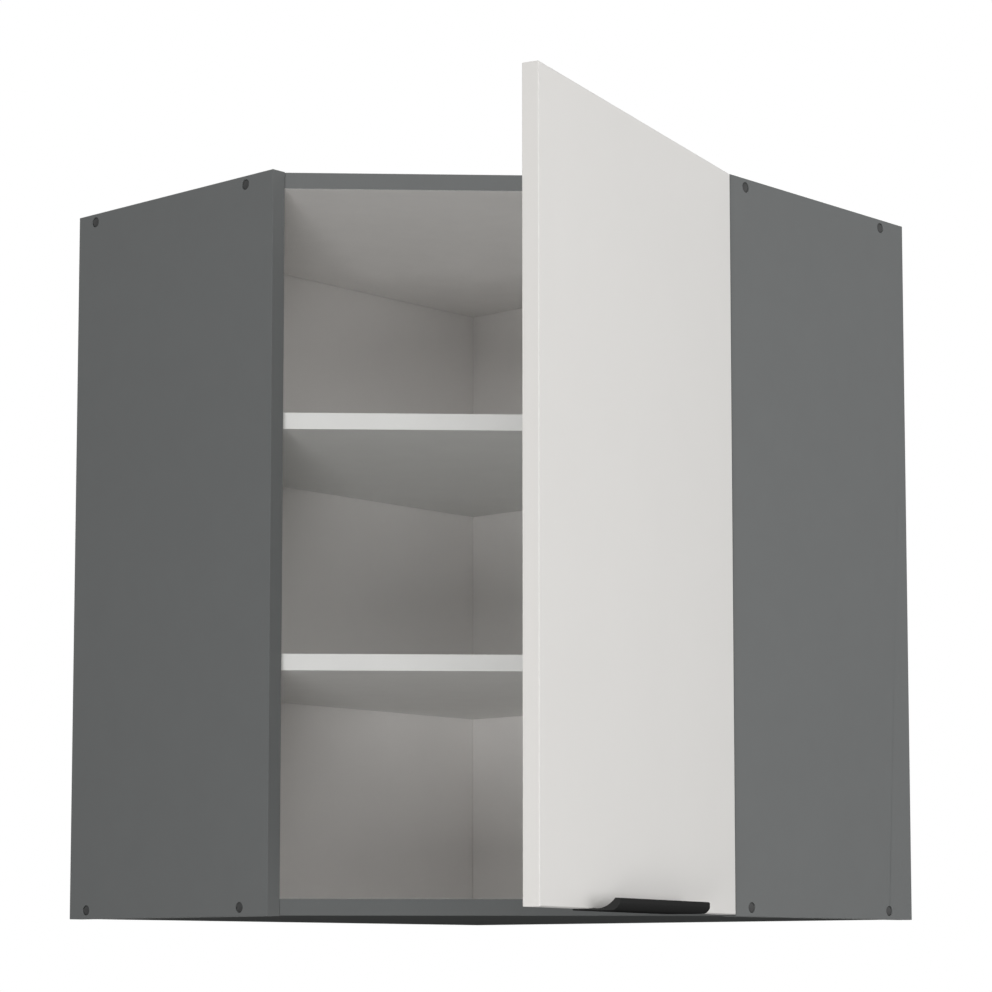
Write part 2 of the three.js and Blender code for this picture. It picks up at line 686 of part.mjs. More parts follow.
/** Add one leaf's two screws, which run from the leaf at x = face into its board. */
function addLeafScrews(group, name, face, y) {
  for (const [spot, way] of [['low', -1], ['high', 1]]) {
    const screw = aimed(
      countersunk(HINGE_SCREW), [-1, 0, 0], [face, y, way * LEAF.screwSpread]);
    add(group, `${name}_${spot}`, screw, NICKEL);
  }
}

for (const [name, height] of HINGE_HEIGHTS) {
  const onSide = new THREE.Group();
  onSide.position.set(AXIS_IN_ROOM.x, AXIS_IN_ROOM.y, height);
  room.add(onSide);
  const reach = AXIS_IN_ROOM.x - SIDE_DEPTH;
  const middle = INNER_FACE + BOARD / 2 - AXIS_IN_ROOM.y;
  add(onSide, `${name}_side_leaf`, hingeLeaf(reach, middle, [0, 2, 4]), NICKEL);
  add(onSide, `${name}_pin`, hingePin(), ZINC);
  addLeafScrews(onSide, `${name}_side_screw`, -reach, middle);

  const onDoor = new THREE.Group();
  onDoor.position.z = height;
  door.add(onDoor);
  add(onDoor, `${name}_door_leaf`, hingeLeaf(AXIS_BEYOND_EDGE, LEAF_ON_DOOR, [1, 3]), NICKEL);
  addLeafScrews(onDoor, `${name}_door_screw`, EDGE, LEAF_ON_DOOR);
}

// ---------------------------------------------------------------- magnetic catch

const CATCH = {
  centre: 63, width: 46, noseWidth: 30, nose: 4, depth: 18, height: 13, behindLine: 10.7,
};
const STRIKE = { width: 34, height: 11, sheet: 1, corner: 2 };

/** The catch under the top board: a body with a narrower magnet nose towards the door. */
function catchBody() {
  const front = FRONT_LINE + CATCH.behindLine;
  const body = roundedOutline(
    [CATCH.centre, front + CATCH.nose + CATCH.depth / 2], CATCH.width, CATCH.depth, 3);
  const nose = block(
    [CATCH.centre - CATCH.noseWidth / 2, front, 1.5],
    [CATCH.centre + CATCH.noseWidth / 2, front + CATCH.nose + 2, CATCH.height - 1.5]);
  return shaped(extruded(body, CATCH.height), { joined: [nose] })
    .translate(0, 0, UNDER_TOP - GAP - CATCH.height);
}

/** The steel plate on the door's inner face that the catch holds. */
function strikePlate() {
  const height = UNDER_TOP - GAP - CATCH.height / 2;
  const outline = roundedOutline(
    [CATCH.centre - DOOR_AXIS.x, height], STRIKE.width, STRIKE.height, STRIKE.corner);
  return extruded(outline, STRIKE.sheet)
    .rotateX(Math.PI / 2)
    .translate(0, INNER + GAP + STRIKE.sheet, 0);
}

add(cabinet, 'magnetic_catch', catchBody(), WHITE_PLASTIC);
add(door, 'strike_plate', strikePlate(), ZINC);

export default cabinet;
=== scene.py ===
"""Looks of a diagonal corner wall cabinet: finishes, fine pieces, studio and camera.

Sizes are written in millimetres and turned to metres where a mesh is made. The room frame has its
x axis along the left wall and its y axis along the right wall, with the corner at the origin.
"""

import logging
import math
from abc import ABC, abstractmethod
from dataclasses import dataclass, field, replace
from enum import Enum

import bmesh
import bpy
from mathutils import Matrix, Vector


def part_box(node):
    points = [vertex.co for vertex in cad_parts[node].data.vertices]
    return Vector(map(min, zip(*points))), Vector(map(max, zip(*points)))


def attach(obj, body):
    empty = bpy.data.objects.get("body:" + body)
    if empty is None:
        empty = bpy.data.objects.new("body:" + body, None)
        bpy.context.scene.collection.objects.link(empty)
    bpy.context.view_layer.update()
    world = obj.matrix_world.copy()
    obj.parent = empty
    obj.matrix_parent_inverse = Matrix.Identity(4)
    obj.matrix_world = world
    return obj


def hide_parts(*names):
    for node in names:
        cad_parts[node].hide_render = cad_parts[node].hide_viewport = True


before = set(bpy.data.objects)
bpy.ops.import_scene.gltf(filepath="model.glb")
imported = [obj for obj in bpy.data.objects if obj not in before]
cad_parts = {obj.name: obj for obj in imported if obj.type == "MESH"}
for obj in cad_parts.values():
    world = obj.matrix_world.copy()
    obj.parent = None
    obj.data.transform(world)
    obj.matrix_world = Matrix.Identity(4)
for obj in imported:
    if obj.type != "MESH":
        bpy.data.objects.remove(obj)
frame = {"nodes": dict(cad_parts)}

LOG = logging.getLogger("corner_cabinet")

MM = 0.001
ROOM = Matrix.Rotation(math.radians(-135.0), 4, "Z")
# The Mix node has several sockets of one name, so its colour sockets are taken by number.
MIX_FACTOR, MIX_A, MIX_B, MIX_RESULT = 0, 6, 7, 2
X, Y, Z = (Vector(axis) for axis in ((1.0, 0.0, 0.0), (0.0, 1.0, 0.0), (0.0, 0.0, 1.0)))
# A cutter reaches this far out of the face that it cuts.
PAST = 2.0

# The door's own frame has its origin on the hinge axis, and the door runs along -x from there.
DOOR_AXIS = Vector((213.1, -624.897, 0.0))
DOOR_PLACE = Matrix.Translation(DOOR_AXIS) @ Matrix.Rotation(math.radians(60.6), 4, "Z")
DOOR_INNER = 6.0
DOOR_OUTER = -10.0
DOOR_EDGE = -3.6
DOOR_WIDTH = 419.0
DOOR_BOTTOM = 1.5
DOOR_HEIGHT = 713.0

Point2 = tuple[float, float]
Point3 = tuple[float, float, float]
Span = tuple[float, float]
Colour = tuple[float, float, float, float]
Tree = bpy.types.NodeTree
Node = bpy.types.Node
Socket = bpy.types.NodeSocket
# A colour, or the socket that gives one.
Tint = Colour | Socket
Shape = bmesh.types.BMesh


class Body(Enum):
    """The two rigid bodies of the cabinet."""

    CARCASS = "carcass"
    DOOR = "door"


class Side(Enum):
    """The wall that a mirrored piece belongs to."""

    LEFT = "left"
    RIGHT = "right"


# ---------------------------------------------------------------- colours and nodes


def linear(hex_colour: str) -> Colour:
    """Turn an sRGB hex colour into the linear colour that a shader takes.

    Args:
        hex_colour: Six hex digits after a hash sign.

    Returns:
        Red, green and blue from 0 to 1, and an alpha of 1.
    """
    channels = [int(hex_colour[i : i + 2], 16) / 255 for i in (1, 3, 5)]
    red, green, blue = (
        c / 12.92 if c <= 0.04045 else ((c + 0.055) / 1.055) ** 2.4 for c in channels
    )
    return (red, green, blue, 1.0)


def add_node(
    tree: Tree,
    kind: str,
    settings: dict[str, object] | None = None,
    inputs: dict[str | int, object] | None = None,
) -> Node:
    """Add one node, with its settings and with a value or a link on each named input.

    Args:
        tree: The node tree that takes the node.
        kind: The node's type name.
        settings: Attributes of the node itself.
        inputs: Values, or output sockets to link, by input name or number.

    Returns:
        The new node.
    """
    node = tree.nodes.new(kind)
    for name, value in (settings or {}).items():
        setattr(node, name, value)
    for key, value in (inputs or {}).items():
        if isinstance(value, Socket):
            tree.links.new(value, node.inputs[key])
        else:
            node.inputs[key].default_value = value
    return node


# ---------------------------------------------------------------- finishes


@dataclass(frozen=True)
class Plane:
    """A plane in the room frame, whose low side takes another colour."""

    normal: Point3
    offset: float

    def parted(self, tree: Tree, point: Socket, high: Tint, low: Tint) -> Socket:
        """Give one colour above the plane and another below it.

        Args:
            tree: The material's node tree.
            point: Object coordinates of the shaded point.
            high: The colour above the plane.
            low: The colour below it.

        Returns:
            The colour's socket.
        """
        normal = ROOM.to_3x3() @ Vector(self.normal)
        height = add_node(
            tree, "ShaderNodeVectorMath", {"operation": "DOT_PRODUCT"}, {0: point, 1: normal}
        )
        below = add_node(
            tree,
            "ShaderNodeMath",
            {"operation": "LESS_THAN"},
            {0: height.outputs["Value"], 1: self.offset * MM},
        )
        colour = add_node(
            tree,
            "ShaderNodeMix",
            {"data_type": "RGBA"},
            {MIX_FACTOR: below.outputs[0], MIX_A: high, MIX_B: low},
        )
        return colour.outputs[MIX_RESULT]


class Finish(ABC):
    """A finish that makes its material once, under the finish's own name."""

    name: str

    def material(self) -> bpy.types.Material:
        """Give the finish's material, made on the first call.

        Returns:
            The material, which all pieces with this finish share.
        """
        found = bpy.data.materials.get(self.name)
        if found:
            return found
        made = bpy.data.materials.new(self.name)
        made.use_nodes = True
        tree = made.node_tree
        point = add_node(tree, "ShaderNodeTexCoord").outputs["Object"]
        self.dress(tree, tree.nodes["Principled BSDF"], point)
        return made

    @abstractmethod
    def dress(self, tree: Tree, shader: Node, point: Socket) -> None:
        """Build the finish's nodes into the shader.

        Args:
            tree: The material's node tree.
            shader: Its Principled node.
            point: Object coordinates of the shaded point.
        """


def shaded(
    tree: Tree, pattern: Socket, colour: Tint, values: Span, spread: Span = (0.0, 1.0)
) -> Socket:
    """Let a pattern darken and lighten a colour.

    Args:
        tree: The material's node tree.
        pattern: The pattern.
        colour: The colour.
        values: What multiplies the colour in the pattern's low and high places.
        spread: The pattern's own lowest and highest value.

    Returns:
        The shaded colour's socket.
    """
    value = add_node(
        tree,
        "ShaderNodeMapRange",
        inputs={
            "Value": pattern,
            "From Min": spread[0],
            "From Max": spread[1],
            "To Min": values[0],
            "To Max": values[1],
        },
    )
    tint = add_node(
        tree, "ShaderNodeHueSaturation", inputs={"Value": value.outputs[0], "Color": colour}
    )
    return tint.outputs["Color"]


def relief(
    tree: Tree,
    shader: Node,
    pattern: Socket,
    depth: float,
    roughness: float | None = None,
    spread: float = 0.0,
) -> None:
    """Let a fine pattern raise a surface and vary its gloss.

    Args:
        tree: The material's node tree.
        shader: The Principled node that takes both.
        pattern: The pattern, from 0 to 1.
        depth: The real height between its low and high places, in millimetres.
        roughness: The surface's middle roughness, or none to leave it as it is.
        spread: How far the roughness goes below and above that.
    """
    if roughness is not None:
        low, high = roughness - spread, roughness + spread
        sheen = add_node(
            tree,
            "ShaderNodeMapRange",
            inputs={"Value": pattern, "To Min": low, "To Max": high},
        )
        tree.links.new(sheen.outputs[0], shader.inputs["Roughness"])
    bump = add_node(
        tree, "ShaderNodeBump", inputs={"Strength": 1.0, "Distance": depth * MM, "Height": pattern}
    )
    tree.links.new(bump.outputs["Normal"], shader.inputs["Normal"])


@dataclass(frozen=True)
class Melamine(Finish):
    """Particle board faced with melamine paper, pressed against a pearl-grained plate.

    The paper gives a matt, even colour with a faint cloudiness, and the plate a fine grain that
    breaks up the sheen. Where the board was sawn and not edged, its chips show.
    """

    name: str
    face: str
    inner: str
    inner_plane: Plane
    raw_planes: tuple[Plane, ...] = ()
    roughness: float = 0.55
    specular: float = 0.2

    def chipboard(self, tree: Tree, point: Socket) -> Socket:
        """Colour a sawn edge: pressed chips of 1 to 3 mm, some of them dark bark.

        Args:
            tree: The material's node tree.
            point: Object coordinates of the shaded point.

        Returns:
            The colour's socket.
        """
        chips = add_node(
            tree,
            "ShaderNodeTexVoronoi",
            inputs={"Vector": point, "Scale": 1 / (2.4 * MM), "Randomness": 1.0},
        )
        shade = add_node(tree, "ShaderNodeSeparateColor", inputs={"Color": chips.outputs["Color"]})
        ramp = add_node(tree, "ShaderNodeValToRGB", inputs={"Fac": shade.outputs["Red"]})
        bark, pale = ramp.color_ramp.elements
        bark.color = linear("#6E4C2C")
        pale.color = linear("#C9A777")
        wood = ramp.color_ramp.elements.new(0.22)
        wood.color = linear("#A98457")
        return ramp.outputs["Color"]

    def dress(self, tree: Tree, shader: Node, point: Socket) -> None:
        """Print the paper, press in the grain and bare the sawn edges.

        Args:
            tree: The material's node tree.
            shader: Its Principled node.
            point: Object coordinates of the shaded point.
        """
        # Clouds of about 40 mm in the printed paper, within three per cent of its colour.
        cloud = add_node(
            tree,
            "ShaderNodeTexNoise",
            inputs={"Vector": point, "Scale": 1 / (40 * MM), "Detail": 5.0, "Roughness": 0.6},
        ).outputs["Fac"]
        # The plate's grain is 0.3 mm. It is drawn at 1.5 mm, so that it shows in the render.
        grain = add_node(
            tree,
            "ShaderNodeTexNoise",
            inputs={"Vector": point, "Scale": 1 / (1.5 * MM), "Detail": 2.0, "Roughness": 0.7},
        ).outputs["Fac"]
        mixed = add_node(
            tree,
            "ShaderNodeMath",
            {"operation": "MULTIPLY_ADD"},
            {0: grain, 1: 0.35, 2: cloud},
        )
        paper = self.inner_plane.parted(tree, point, linear(self.face), linear(self.inner))
        colour = shaded(tree, mixed.outputs[0], paper, (0.975, 1.025), (0.35, 1.0))
        for plane in self.raw_planes:
            colour = plane.parted(tree, point, colour, self.chipboard(tree, point))
        tree.links.new(colour, shader.inputs["Base Color"])
        shader.inputs["IOR"].default_value = 1.5
        shader.inputs["Specular IOR Level"].default_value = self.specular
        relief(tree, shader, grain, 0.02, self.roughness, 0.06)


@dataclass(frozen=True)
class Hardboard(Finish):
    """A hardboard sheet, lacquered on its smooth face and bare brown fibre on its back.

    The lacquer is matt and even. The bare back shows short felted fibres.
    """

    name: str
    lacquer: str
    bare: str
    back_plane: Plane
    roughness: float = 0.625

    def dress(self, tree: Tree, shader: Node, point: Socket) -> None:
        """Lay the lacquer over the face and the felted fibres over the back.

        Args:
            tree: The material's node tree.
            shader: Its Principled node.
            point: Object coordinates of the shaded point.
        """
        # Felted fibres, about 2 mm long.
        fibres = add_node(
            tree,
            "ShaderNodeTexNoise",
            inputs={"Vector": point, "Scale": 1 / (2 * MM), "Detail": 6.0, "Distortion": 1.2},
        ).outputs["Fac"]
        # Clouds of about 60 mm in the lacquer.
        cloud = add_node(
            tree,
            "ShaderNodeTexNoise",
            inputs={"Vector": point, "Scale": 1 / (60 * MM), "Detail": 4.0},
        ).outputs["Fac"]
        bare = shaded(tree, fibres, linear(self.bare), (0.8, 1.15), (0.3, 0.7))
        smooth = shaded(tree, cloud, linear(self.lacquer), (0.975, 1.025))
        colour = self.back_plane.parted(tree, point, smooth, bare)
        tree.links.new(colour, shader.inputs["Base Color"])
        shader.inputs["Specular IOR Level"].default_value = 0.3
        relief(tree, shader, fibres, 0.025, self.roughness, 0.075)


@dataclass(frozen=True)
class Lacquer(Finish):
    """Fibre board sprayed with a satin lacquer, which dries to a barely rippled skin.

    The board's edges are painted a tone darker than its faces. This is painted shade, which evens
    out the front lamps' light that falls more fully on the edges than on the faces.
    """

    name: str
    colour: str
    painted_shade_edge_colour: str
    painted_shade_edge_planes: tuple[Plane, ...]
    roughness: float = 0.42

    def dress(self, tree: Tree, shader: Node, point: Socket) -> None:
        """Spray the faces, and paint the edges a tone darker as painted shade.

        Args:
            tree: The material's node tree.
            shader: Its Principled node.
            point: Object coordinates of the shaded point.
        """
        # Spray ripple of about 3 mm, a hundredth of a millimetre deep.
        ripple = add_node(
            tree,
            "ShaderNodeTexNoise",
            inputs={"Vector": point, "Scale": 1 / (3 * MM), "Detail": 2.0, "Roughness": 0.45},
        ).outputs["Fac"]
        # Passes of the spray gun leave clouds of about 90 mm.
        cloud = add_node(
            tree,
            "ShaderNodeTexNoise",
            inputs={"Vector": point, "Scale": 1 / (90 * MM), "Detail": 5.0},
        ).outputs["Fac"]
        tone = linear(self.colour)
        # Painted shade: past each edge plane the lacquer takes the darker edge colour.
        for plane in self.painted_shade_edge_planes:
            tone = plane.parted(tree, point, tone, linear(self.painted_shade_edge_colour))
        colour = shaded(tree, cloud, tone, (0.985, 1.015))
        tree.links.new(colour, shader.inputs["Base Color"])
        shader.inputs["IOR"].default_value = 1.5
        relief(tree, shader, ripple, 0.012, self.roughness, 0.04)


@dataclass(frozen=True)
class PowderCoat(Finish):
    """Aluminium with a baked powder coat: even and flat black, with a fine orange peel."""

    name: str
    colour: str
    roughness: float = 0.5

    def dress(self, tree: Tree, shader: Node, point: Socket) -> None:
        """Bake the coat on, without gloss.

        Args:
            tree: The material's node tree.
            shader: Its Principled node.
            point: Object coordinates of the shaded point.
        """
        # Orange peel of 0.8 mm, which mottles the flat coat.
        peel = add_node(
            tree,
            "ShaderNodeTexNoise",
            inputs={"Vector": point, "Scale": 1 / (0.8 * MM), "Detail": 2.0, "Roughness": 0.5},
        ).outputs["Fac"]
        colour = shaded(tree, peel, linear(self.colour), (0.9, 1.1))
        tree.links.new(colour, shader.inputs["Base Color"])
        shader.inputs["IOR"].default_value = 1.5
        shader.inputs["Specular IOR Level"].default_value = 0.0
        relief(tree, shader, peel, 0.01, self.roughness, 0.06)


@dataclass(frozen=True)
class PlatedSteel(Finish):
    """Pressed or turned steel with a thin plating, which keeps faint marks of the tool."""

    name: str
    colour: str
    roughness: float
    streak: Point3 = (1.0, 1.0, 0.08)

    def dress(self, tree: Tree, shader: Node, point: Socket) -> None:
        """Plate the steel over its drawing marks.

        Args:
            tree: The material's node tree.
            shader: Its Principled node.
            point: Object coordinates of the shaded point.
        """
        drawn = add_node(tree, "ShaderNodeMapping", inputs={"Vector": point, "Scale": self.streak})
        # Drawing marks of 0.5 mm across, twelve times as long.
        marks = add_node(
            tree,
            "ShaderNodeTexNoise",
            inputs={"Vector": drawn.outputs[0], "Scale": 1 / (0.5 * MM), "Detail": 3.0},
        ).outputs["Fac"]
        colour = shaded(tree, marks, linear(self.colour), (0.92, 1.06))
        tree.links.new(colour, shader.inputs["Base Color"])
        shader.inputs["Metallic"].default_value = 1.0
        relief(tree, shader, marks, 0.004, self.roughness, 0.08)


@dataclass(frozen=True)
class MouldedPlastic(Finish):
    """Injection-moulded plastic, whose spark-eroded mould leaves a fine even texture."""

    name: str
    colour: str
    roughness: float

    def dress(self, tree: Tree, shader: Node, point: Socket) -> None:
        """Give the plastic the texture of its mould.

        Args:
            tree: The material's node tree.
            shader: Its Principled node.
            point: Object coordinates of the shaded point.
        """
        # The mould's texture is 0.2 mm. It is drawn at 0.5 mm, so that it shows close up.
        texture = add_node(
            tree,
            "ShaderNodeTexNoise",
            inputs={"Vector": point, "Scale": 1 / (0.5 * MM), "Detail": 2.0},
        ).outputs["Fac"]
        colour = shaded(tree, texture, linear(self.colour), (0.95, 1.05))
        tree.links.new(colour, shader.inputs["Base Color"])
        shader.inputs["IOR"].default_value = 1.49
        relief(tree, shader, texture, 0.01, self.roughness, 0.05)


@dataclass(frozen=True)
class Softwood(Finish):
    """Planed spruce, pale with darker late-wood lines that run along the post."""

    name: str
    early: str
    late: str

    def dress(self, tree: Tree, shader: Node, point: Socket) -> None:
        """Run the growth rings along the post.

        Args:
            tree: The material's node tree.
            shader: Its Principled node.
            point: Object coordinates of the shaded point.
        """
        along = add_node(
            tree, "ShaderNodeMapping", inputs={"Vector": point, "Scale": (1.0, 1.0, 0.06)}
        )
        # Growth rings about 5 mm apart, gently waved along the length.
        rings = add_node(
            tree,
            "ShaderNodeTexNoise",
            inputs={"Vector": along.outputs[0], "Scale": 1 / (5 * MM), "Detail": 3.0},
        ).outputs["Fac"]
        ramp = add_node(tree, "ShaderNodeValToRGB", inputs={"Fac": rings})
        early, late = ramp.color_ramp.elements
        early.position, early.color = 0.42, linear(self.early)
        late.position, late.color = 0.66, linear(self.late)
        tree.links.new(ramp.outputs["Color"], shader.inputs["Base Color"])
        shader.inputs["Roughness"].default_value = 0.7
        shader.inputs["Specular IOR Level"].default_value = 0.25
        relief(tree, shader, rings, 0.03)


# ---------------------------------------------------------------- shaping


def arc(centre: Point2, radius: float, start: float, end: float, steps: int) -> list[Point2]:
    """Give points on an arc.

    Args:
        centre: The arc's centre.
        radius: Its radius.
        start: Angle of the first point, in degrees.
        end: Angle of the last point.
        steps: Number of chords.

    Returns:
        The points, first and last included.
    """
    angles = [math.radians(start + (end - start) * i / steps) for i in range(steps + 1)]
    return [
        (centre[0] + radius * math.cos(a), centre[1] + radius * math.sin(a)) for a in angles
    ]


def turned(profile: list[Point2], steps: int = 32) -> Shape:
    """Spin a profile of [radius, height] points about the z axis.

    Args:
        profile: Points from one end of the axis to the other.
        steps: Number of sides.

    Returns:
        A closed round shape.
    """
    mesh = bmesh.new()
    points = [mesh.verts.new((radius, 0.0, height)) for radius, height in profile]
    edges = [mesh.edges.new(pair) for pair in zip(points, points[1:])]
    bmesh.ops.spin(
        mesh,
        geom=points + edges,
        cent=(0.0, 0.0, 0.0),
        axis=(0.0, 0.0, 1.0),
        angle=math.tau,
        steps=steps,
        use_merge=True,
    )
    return cleaned(mesh)


def extruded(outline: list[Point2], depth: float) -> Shape:
    """Raise an outline along the z axis.

    Args:
        outline: The outline's points, in order.
        depth: How far it is raised.

    Returns:
        A closed prism.
    """
    mesh = bmesh.new()
    face = mesh.faces.new([mesh.verts.new((x, y, 0.0)) for x, y in outline])
    grown = bmesh.ops.extrude_face_region(mesh, geom=[face])["geom"]
    raised = [part for part in grown if isinstance(part, bmesh.types.BMVert)]
    bmesh.ops.translate(mesh, vec=(0.0, 0.0, depth), verts=raised)
    return cleaned(mesh)


def block(low: Point3, high: Point3) -> Shape:
    """Make a box between two opposite corners.

    Args:
        low: The lowest corner.
        high: The highest corner.

    Returns:
        The box.
    """
    mesh = bmesh.new()
    bmesh.ops.create_cube(mesh, size=1.0)
    size = [b - a for a, b in zip(low, high)]
    middle = [(a + b) / 2 for a, b in zip(low, high)]
    bmesh.ops.scale(mesh, vec=size, verts=mesh.verts)
    bmesh.ops.translate(mesh, vec=middle, verts=mesh.verts)
    return mesh


def cleaned(mesh: Shape) -> Shape:
    """Merge doubled points and turn every face outwards.

    Args:
        mesh: The shape, which is changed.

    Returns:
        The same shape.
    """
    bmesh.ops.remove_doubles(mesh, verts=mesh.verts, dist=1e-4)
    bmesh.ops.recalc_face_normals(mesh, faces=mesh.faces)
    return mesh


def eased(mesh: Shape, width: float, segments: int = 2, sharper: float = 30.0) -> Shape:
    """Round every edge that is sharper than an angle.

    Args:
        mesh: The shape, which is changed.
        width: The rounding's width.
        segments: Its number of steps.
        sharper: The least angle between two faces, in degrees.

    Returns:
        The same shape.
    """
    least = math.radians(sharper)
    edges = [e for e in mesh.edges if e.is_manifold and e.calc_face_angle(0.0) > least]
    bevel(mesh, edges, width, segments)
    return mesh


def bevel(mesh: Shape, edges: list[bmesh.types.BMEdge], width: float, segments: int) -> None:
    """Bevel some edges of a shape to a round.

    Args:
        mesh: The shape, which is changed.
        edges: The edges.
        width: The bevel's width.
        segments: Its number of steps.
    """
    bmesh.ops.bevel(
        mesh,
        geom=edges,
        offset=width,
        offset_type="OFFSET",
        affect="EDGES",
        segments=segments,
        profile=0.5,
        material=-1,
        clamp_overlap=True,
    )


def upright_edges(mesh: Shape) -> list[bmesh.types.BMEdge]:
    """List the edges that run along the z axis."""
    spans = [(e, e.verts[0].co - e.verts[1].co) for e in mesh.edges]
    return [e for e, span in spans if span.length > 0 and abs(span.z) > 0.999 * span.length]


def plate(width: float, height: float, thickness: float, corner: float, edge: float) -> Shape:
    """Make a plate on the xy plane, with rounded corners and eased edges.

    Args:
        width: Size along x.
        height: Size along y.
        thickness: Size along z, from 0 up.
        corner: Radius of the four corners.
        edge: Rounding of the rims.

    Returns:
        The plate.
    """
    mesh = block((-width / 2, -height / 2, 0.0), (width / 2, height / 2, thickness))
    bevel(mesh, upright_edges(mesh), corner, 6)
    return eased(mesh, edge)


def moved(mesh: Shape, place: Matrix) -> Shape:
    """Move or turn a shape and give it back."""
    bmesh.ops.transform(mesh, matrix=place, verts=mesh.verts)
    return mesh


def combined(shape: Shape, others: list[Shape], operation: str = "DIFFERENCE") -> Shape:
    """Cut other shapes out of a shape, join them to it or keep what they share.

    Args:
        shape: The shape, which is used up.
        others: The other shapes, also used up.
        operation: The Boolean modifier's operation.

    Returns:
        The combined shape.
    """
    objects = []
    for mesh in [shape, *others]:
        data = bpy.data.meshes.new("cut")
        cleaned(mesh).to_mesh(data)
        mesh.free()
        objects.append(bpy.data.objects.new("cut", data))
        bpy.context.scene.collection.objects.link(objects[-1])
    for other in objects[1:]:
        modifier = objects[0].modifiers.new("cut", "BOOLEAN")
        modifier.operation = operation
        modifier.solver = "EXACT"
        modifier.object = other
    bpy.context.view_layer.update()
    shown = objects[0].evaluated_get(bpy.context.evaluated_depsgraph_get())
    result = bmesh.new()
    result.from_mesh(shown.to_mesh())
    shown.to_mesh_clear()
    for item in objects:
        data = item.data
        bpy.data.objects.remove(item)
        bpy.data.meshes.remove(data)
    return cleaned(result)


def axis_frame(along: Vector, up: Vector, origin: Vector) -> Matrix:
    """Place a shape so that its z axis runs one way and its y axis leans another.

    Args:
        along: Where the shape's z axis goes.
        up: Where its y axis goes.
        origin: Where its origin goes.

    Returns:
        The placing matrix, without a mirror.
    """
    across = up.cross(along)
    matrix = Matrix((across, up, along)).transposed().to_4x4()
    matrix.translation = origin
    return matrix


@dataclass(frozen=True)
class Piece:
    """What a finished mesh becomes: its name, body, finish and the nodes it stands for."""

    name: str
    body: Body
    finish: Finish
    slot: str
    replaces: tuple[str, ...] = ()
    crease: float = 32.0

    def build(self, mesh: Shape, place: Matrix) -> bpy.types.Object:
        """Make the piece's object from a shape in millimetres.

        Args:
            mesh: The shape, which is used up.
            place: Where it goes, in millimetres in the cabinet's frame.

        Returns:
            The object, riding on its body.
        """
        moved(mesh, Matrix.Scale(MM, 4) @ place)
        bmesh.ops.recalc_face_normals(mesh, faces=mesh.faces)
        data = bpy.data.meshes.new(self.name)
        mesh.to_mesh(data)
        mesh.free()
        data.shade_smooth()
        data.set_sharp_from_angle(angle=math.radians(self.crease))
        data.materials.append(self.finish.material())
        made = bpy.data.objects.new(self.name, data)
        bpy.context.scene.collection.objects.link(made)
        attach(made, self.body.value)
        if self.replaces:
            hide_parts(*self.replaces)
        LOG.info("%s: %d faces", self.name, len(data.polygons))
        return made


def flat_shading() -> Tree:
    """Make the node group that shades every face flat, on the first call.

    Returns:
        The group, for a Nodes modifier.
    """
    name = "flat_shading"
    found = bpy.data.node_groups.get(name)
    if found:
        return found
    tree = bpy.data.node_groups.new(name, "GeometryNodeTree")
    for way in ("INPUT", "OUTPUT"):
        tree.interface.new_socket("Geometry", in_out=way, socket_type="NodeSocketGeometry")
    given = add_node(tree, "NodeGroupInput")
    flat = add_node(
        tree,
        "GeometryNodeSetShadeSmooth",
        inputs={"Geometry": given.outputs[0], "Shade Smooth": False},
    )
    add_node(tree, "NodeGroupOutput", inputs={0: flat.outputs[0]})
    return tree


def dress_node(node: bpy.types.Object, finish: Finish, edge: float) -> None:
    """Give a CAD node its finish and ease its sharp edges.

    Args:
        node: The node's object.
        finish: Its finish.
        edge: Width of the eased edges, in millimetres, or 0 for none.
    """
    for slot in node.material_slots:
        slot.material = finish.material()
    if edge > 0:
        weld = node.modifiers.new("weld", "WELD")
        weld.merge_threshold = 0.01 * MM
        ease = node.modifiers.new("ease", "BEVEL")
        ease.width = edge * MM
        ease.segments = 2
        ease.limit_method = "ANGLE"
        ease.angle_limit = math.radians(40)
        ease.use_clamp_overlap = False
        # Welding leaves a few long faces smooth, and they would catch the light as streaks.
        node.modifiers.new("flat", "NODES").node_group = flat_shading()
    LOG.info("%s: dressed with %s", node.name, finish.name)


# ---------------------------------------------------------------- finishes of this cabinet

# Each plane stands 0.1 mm inside the face that it parts off, but the shelves' plane stands behind
# their plastic edge band, which is 0.8 mm thick. The band is painted slightly greyer than the
# shelves'
# faces: painted shade, for the shade that the top and the sides cast on the set-back edge.
LEFT_INNER = Plane((1.0, 0.0, 0.0), 584.1)
RIGHT_INNER = Plane((0.0, 1.0, 0.0), 584.1)
TOP_INNER = Plane((0.0, 0.0, 1.0), 699.6)
BOTTOM_INNER = Plane((0.0, 0.0, -1.0), -16.4)
BEHIND_SHADED_BAND = Plane((math.sqrt(0.5), math.sqrt(0.5), 0.0), 605.1)
SAWN_LEFT = Plane((0.0, 1.0, 0.0), 0.1)
SAWN_RIGHT = Plane((1.0, 0.0, 0.0), 0.1)
BEHIND_LEFT = Plane((0.0, 1.0, 0.0), 19.9)
BEHIND_RIGHT = Plane((1.0, 0.0, 0.0), 29.9)

GRAPHITE = "#676969"
PALE_INSIDE = "#F5F3F1"
BARE_FIBRE = "#8A6642"

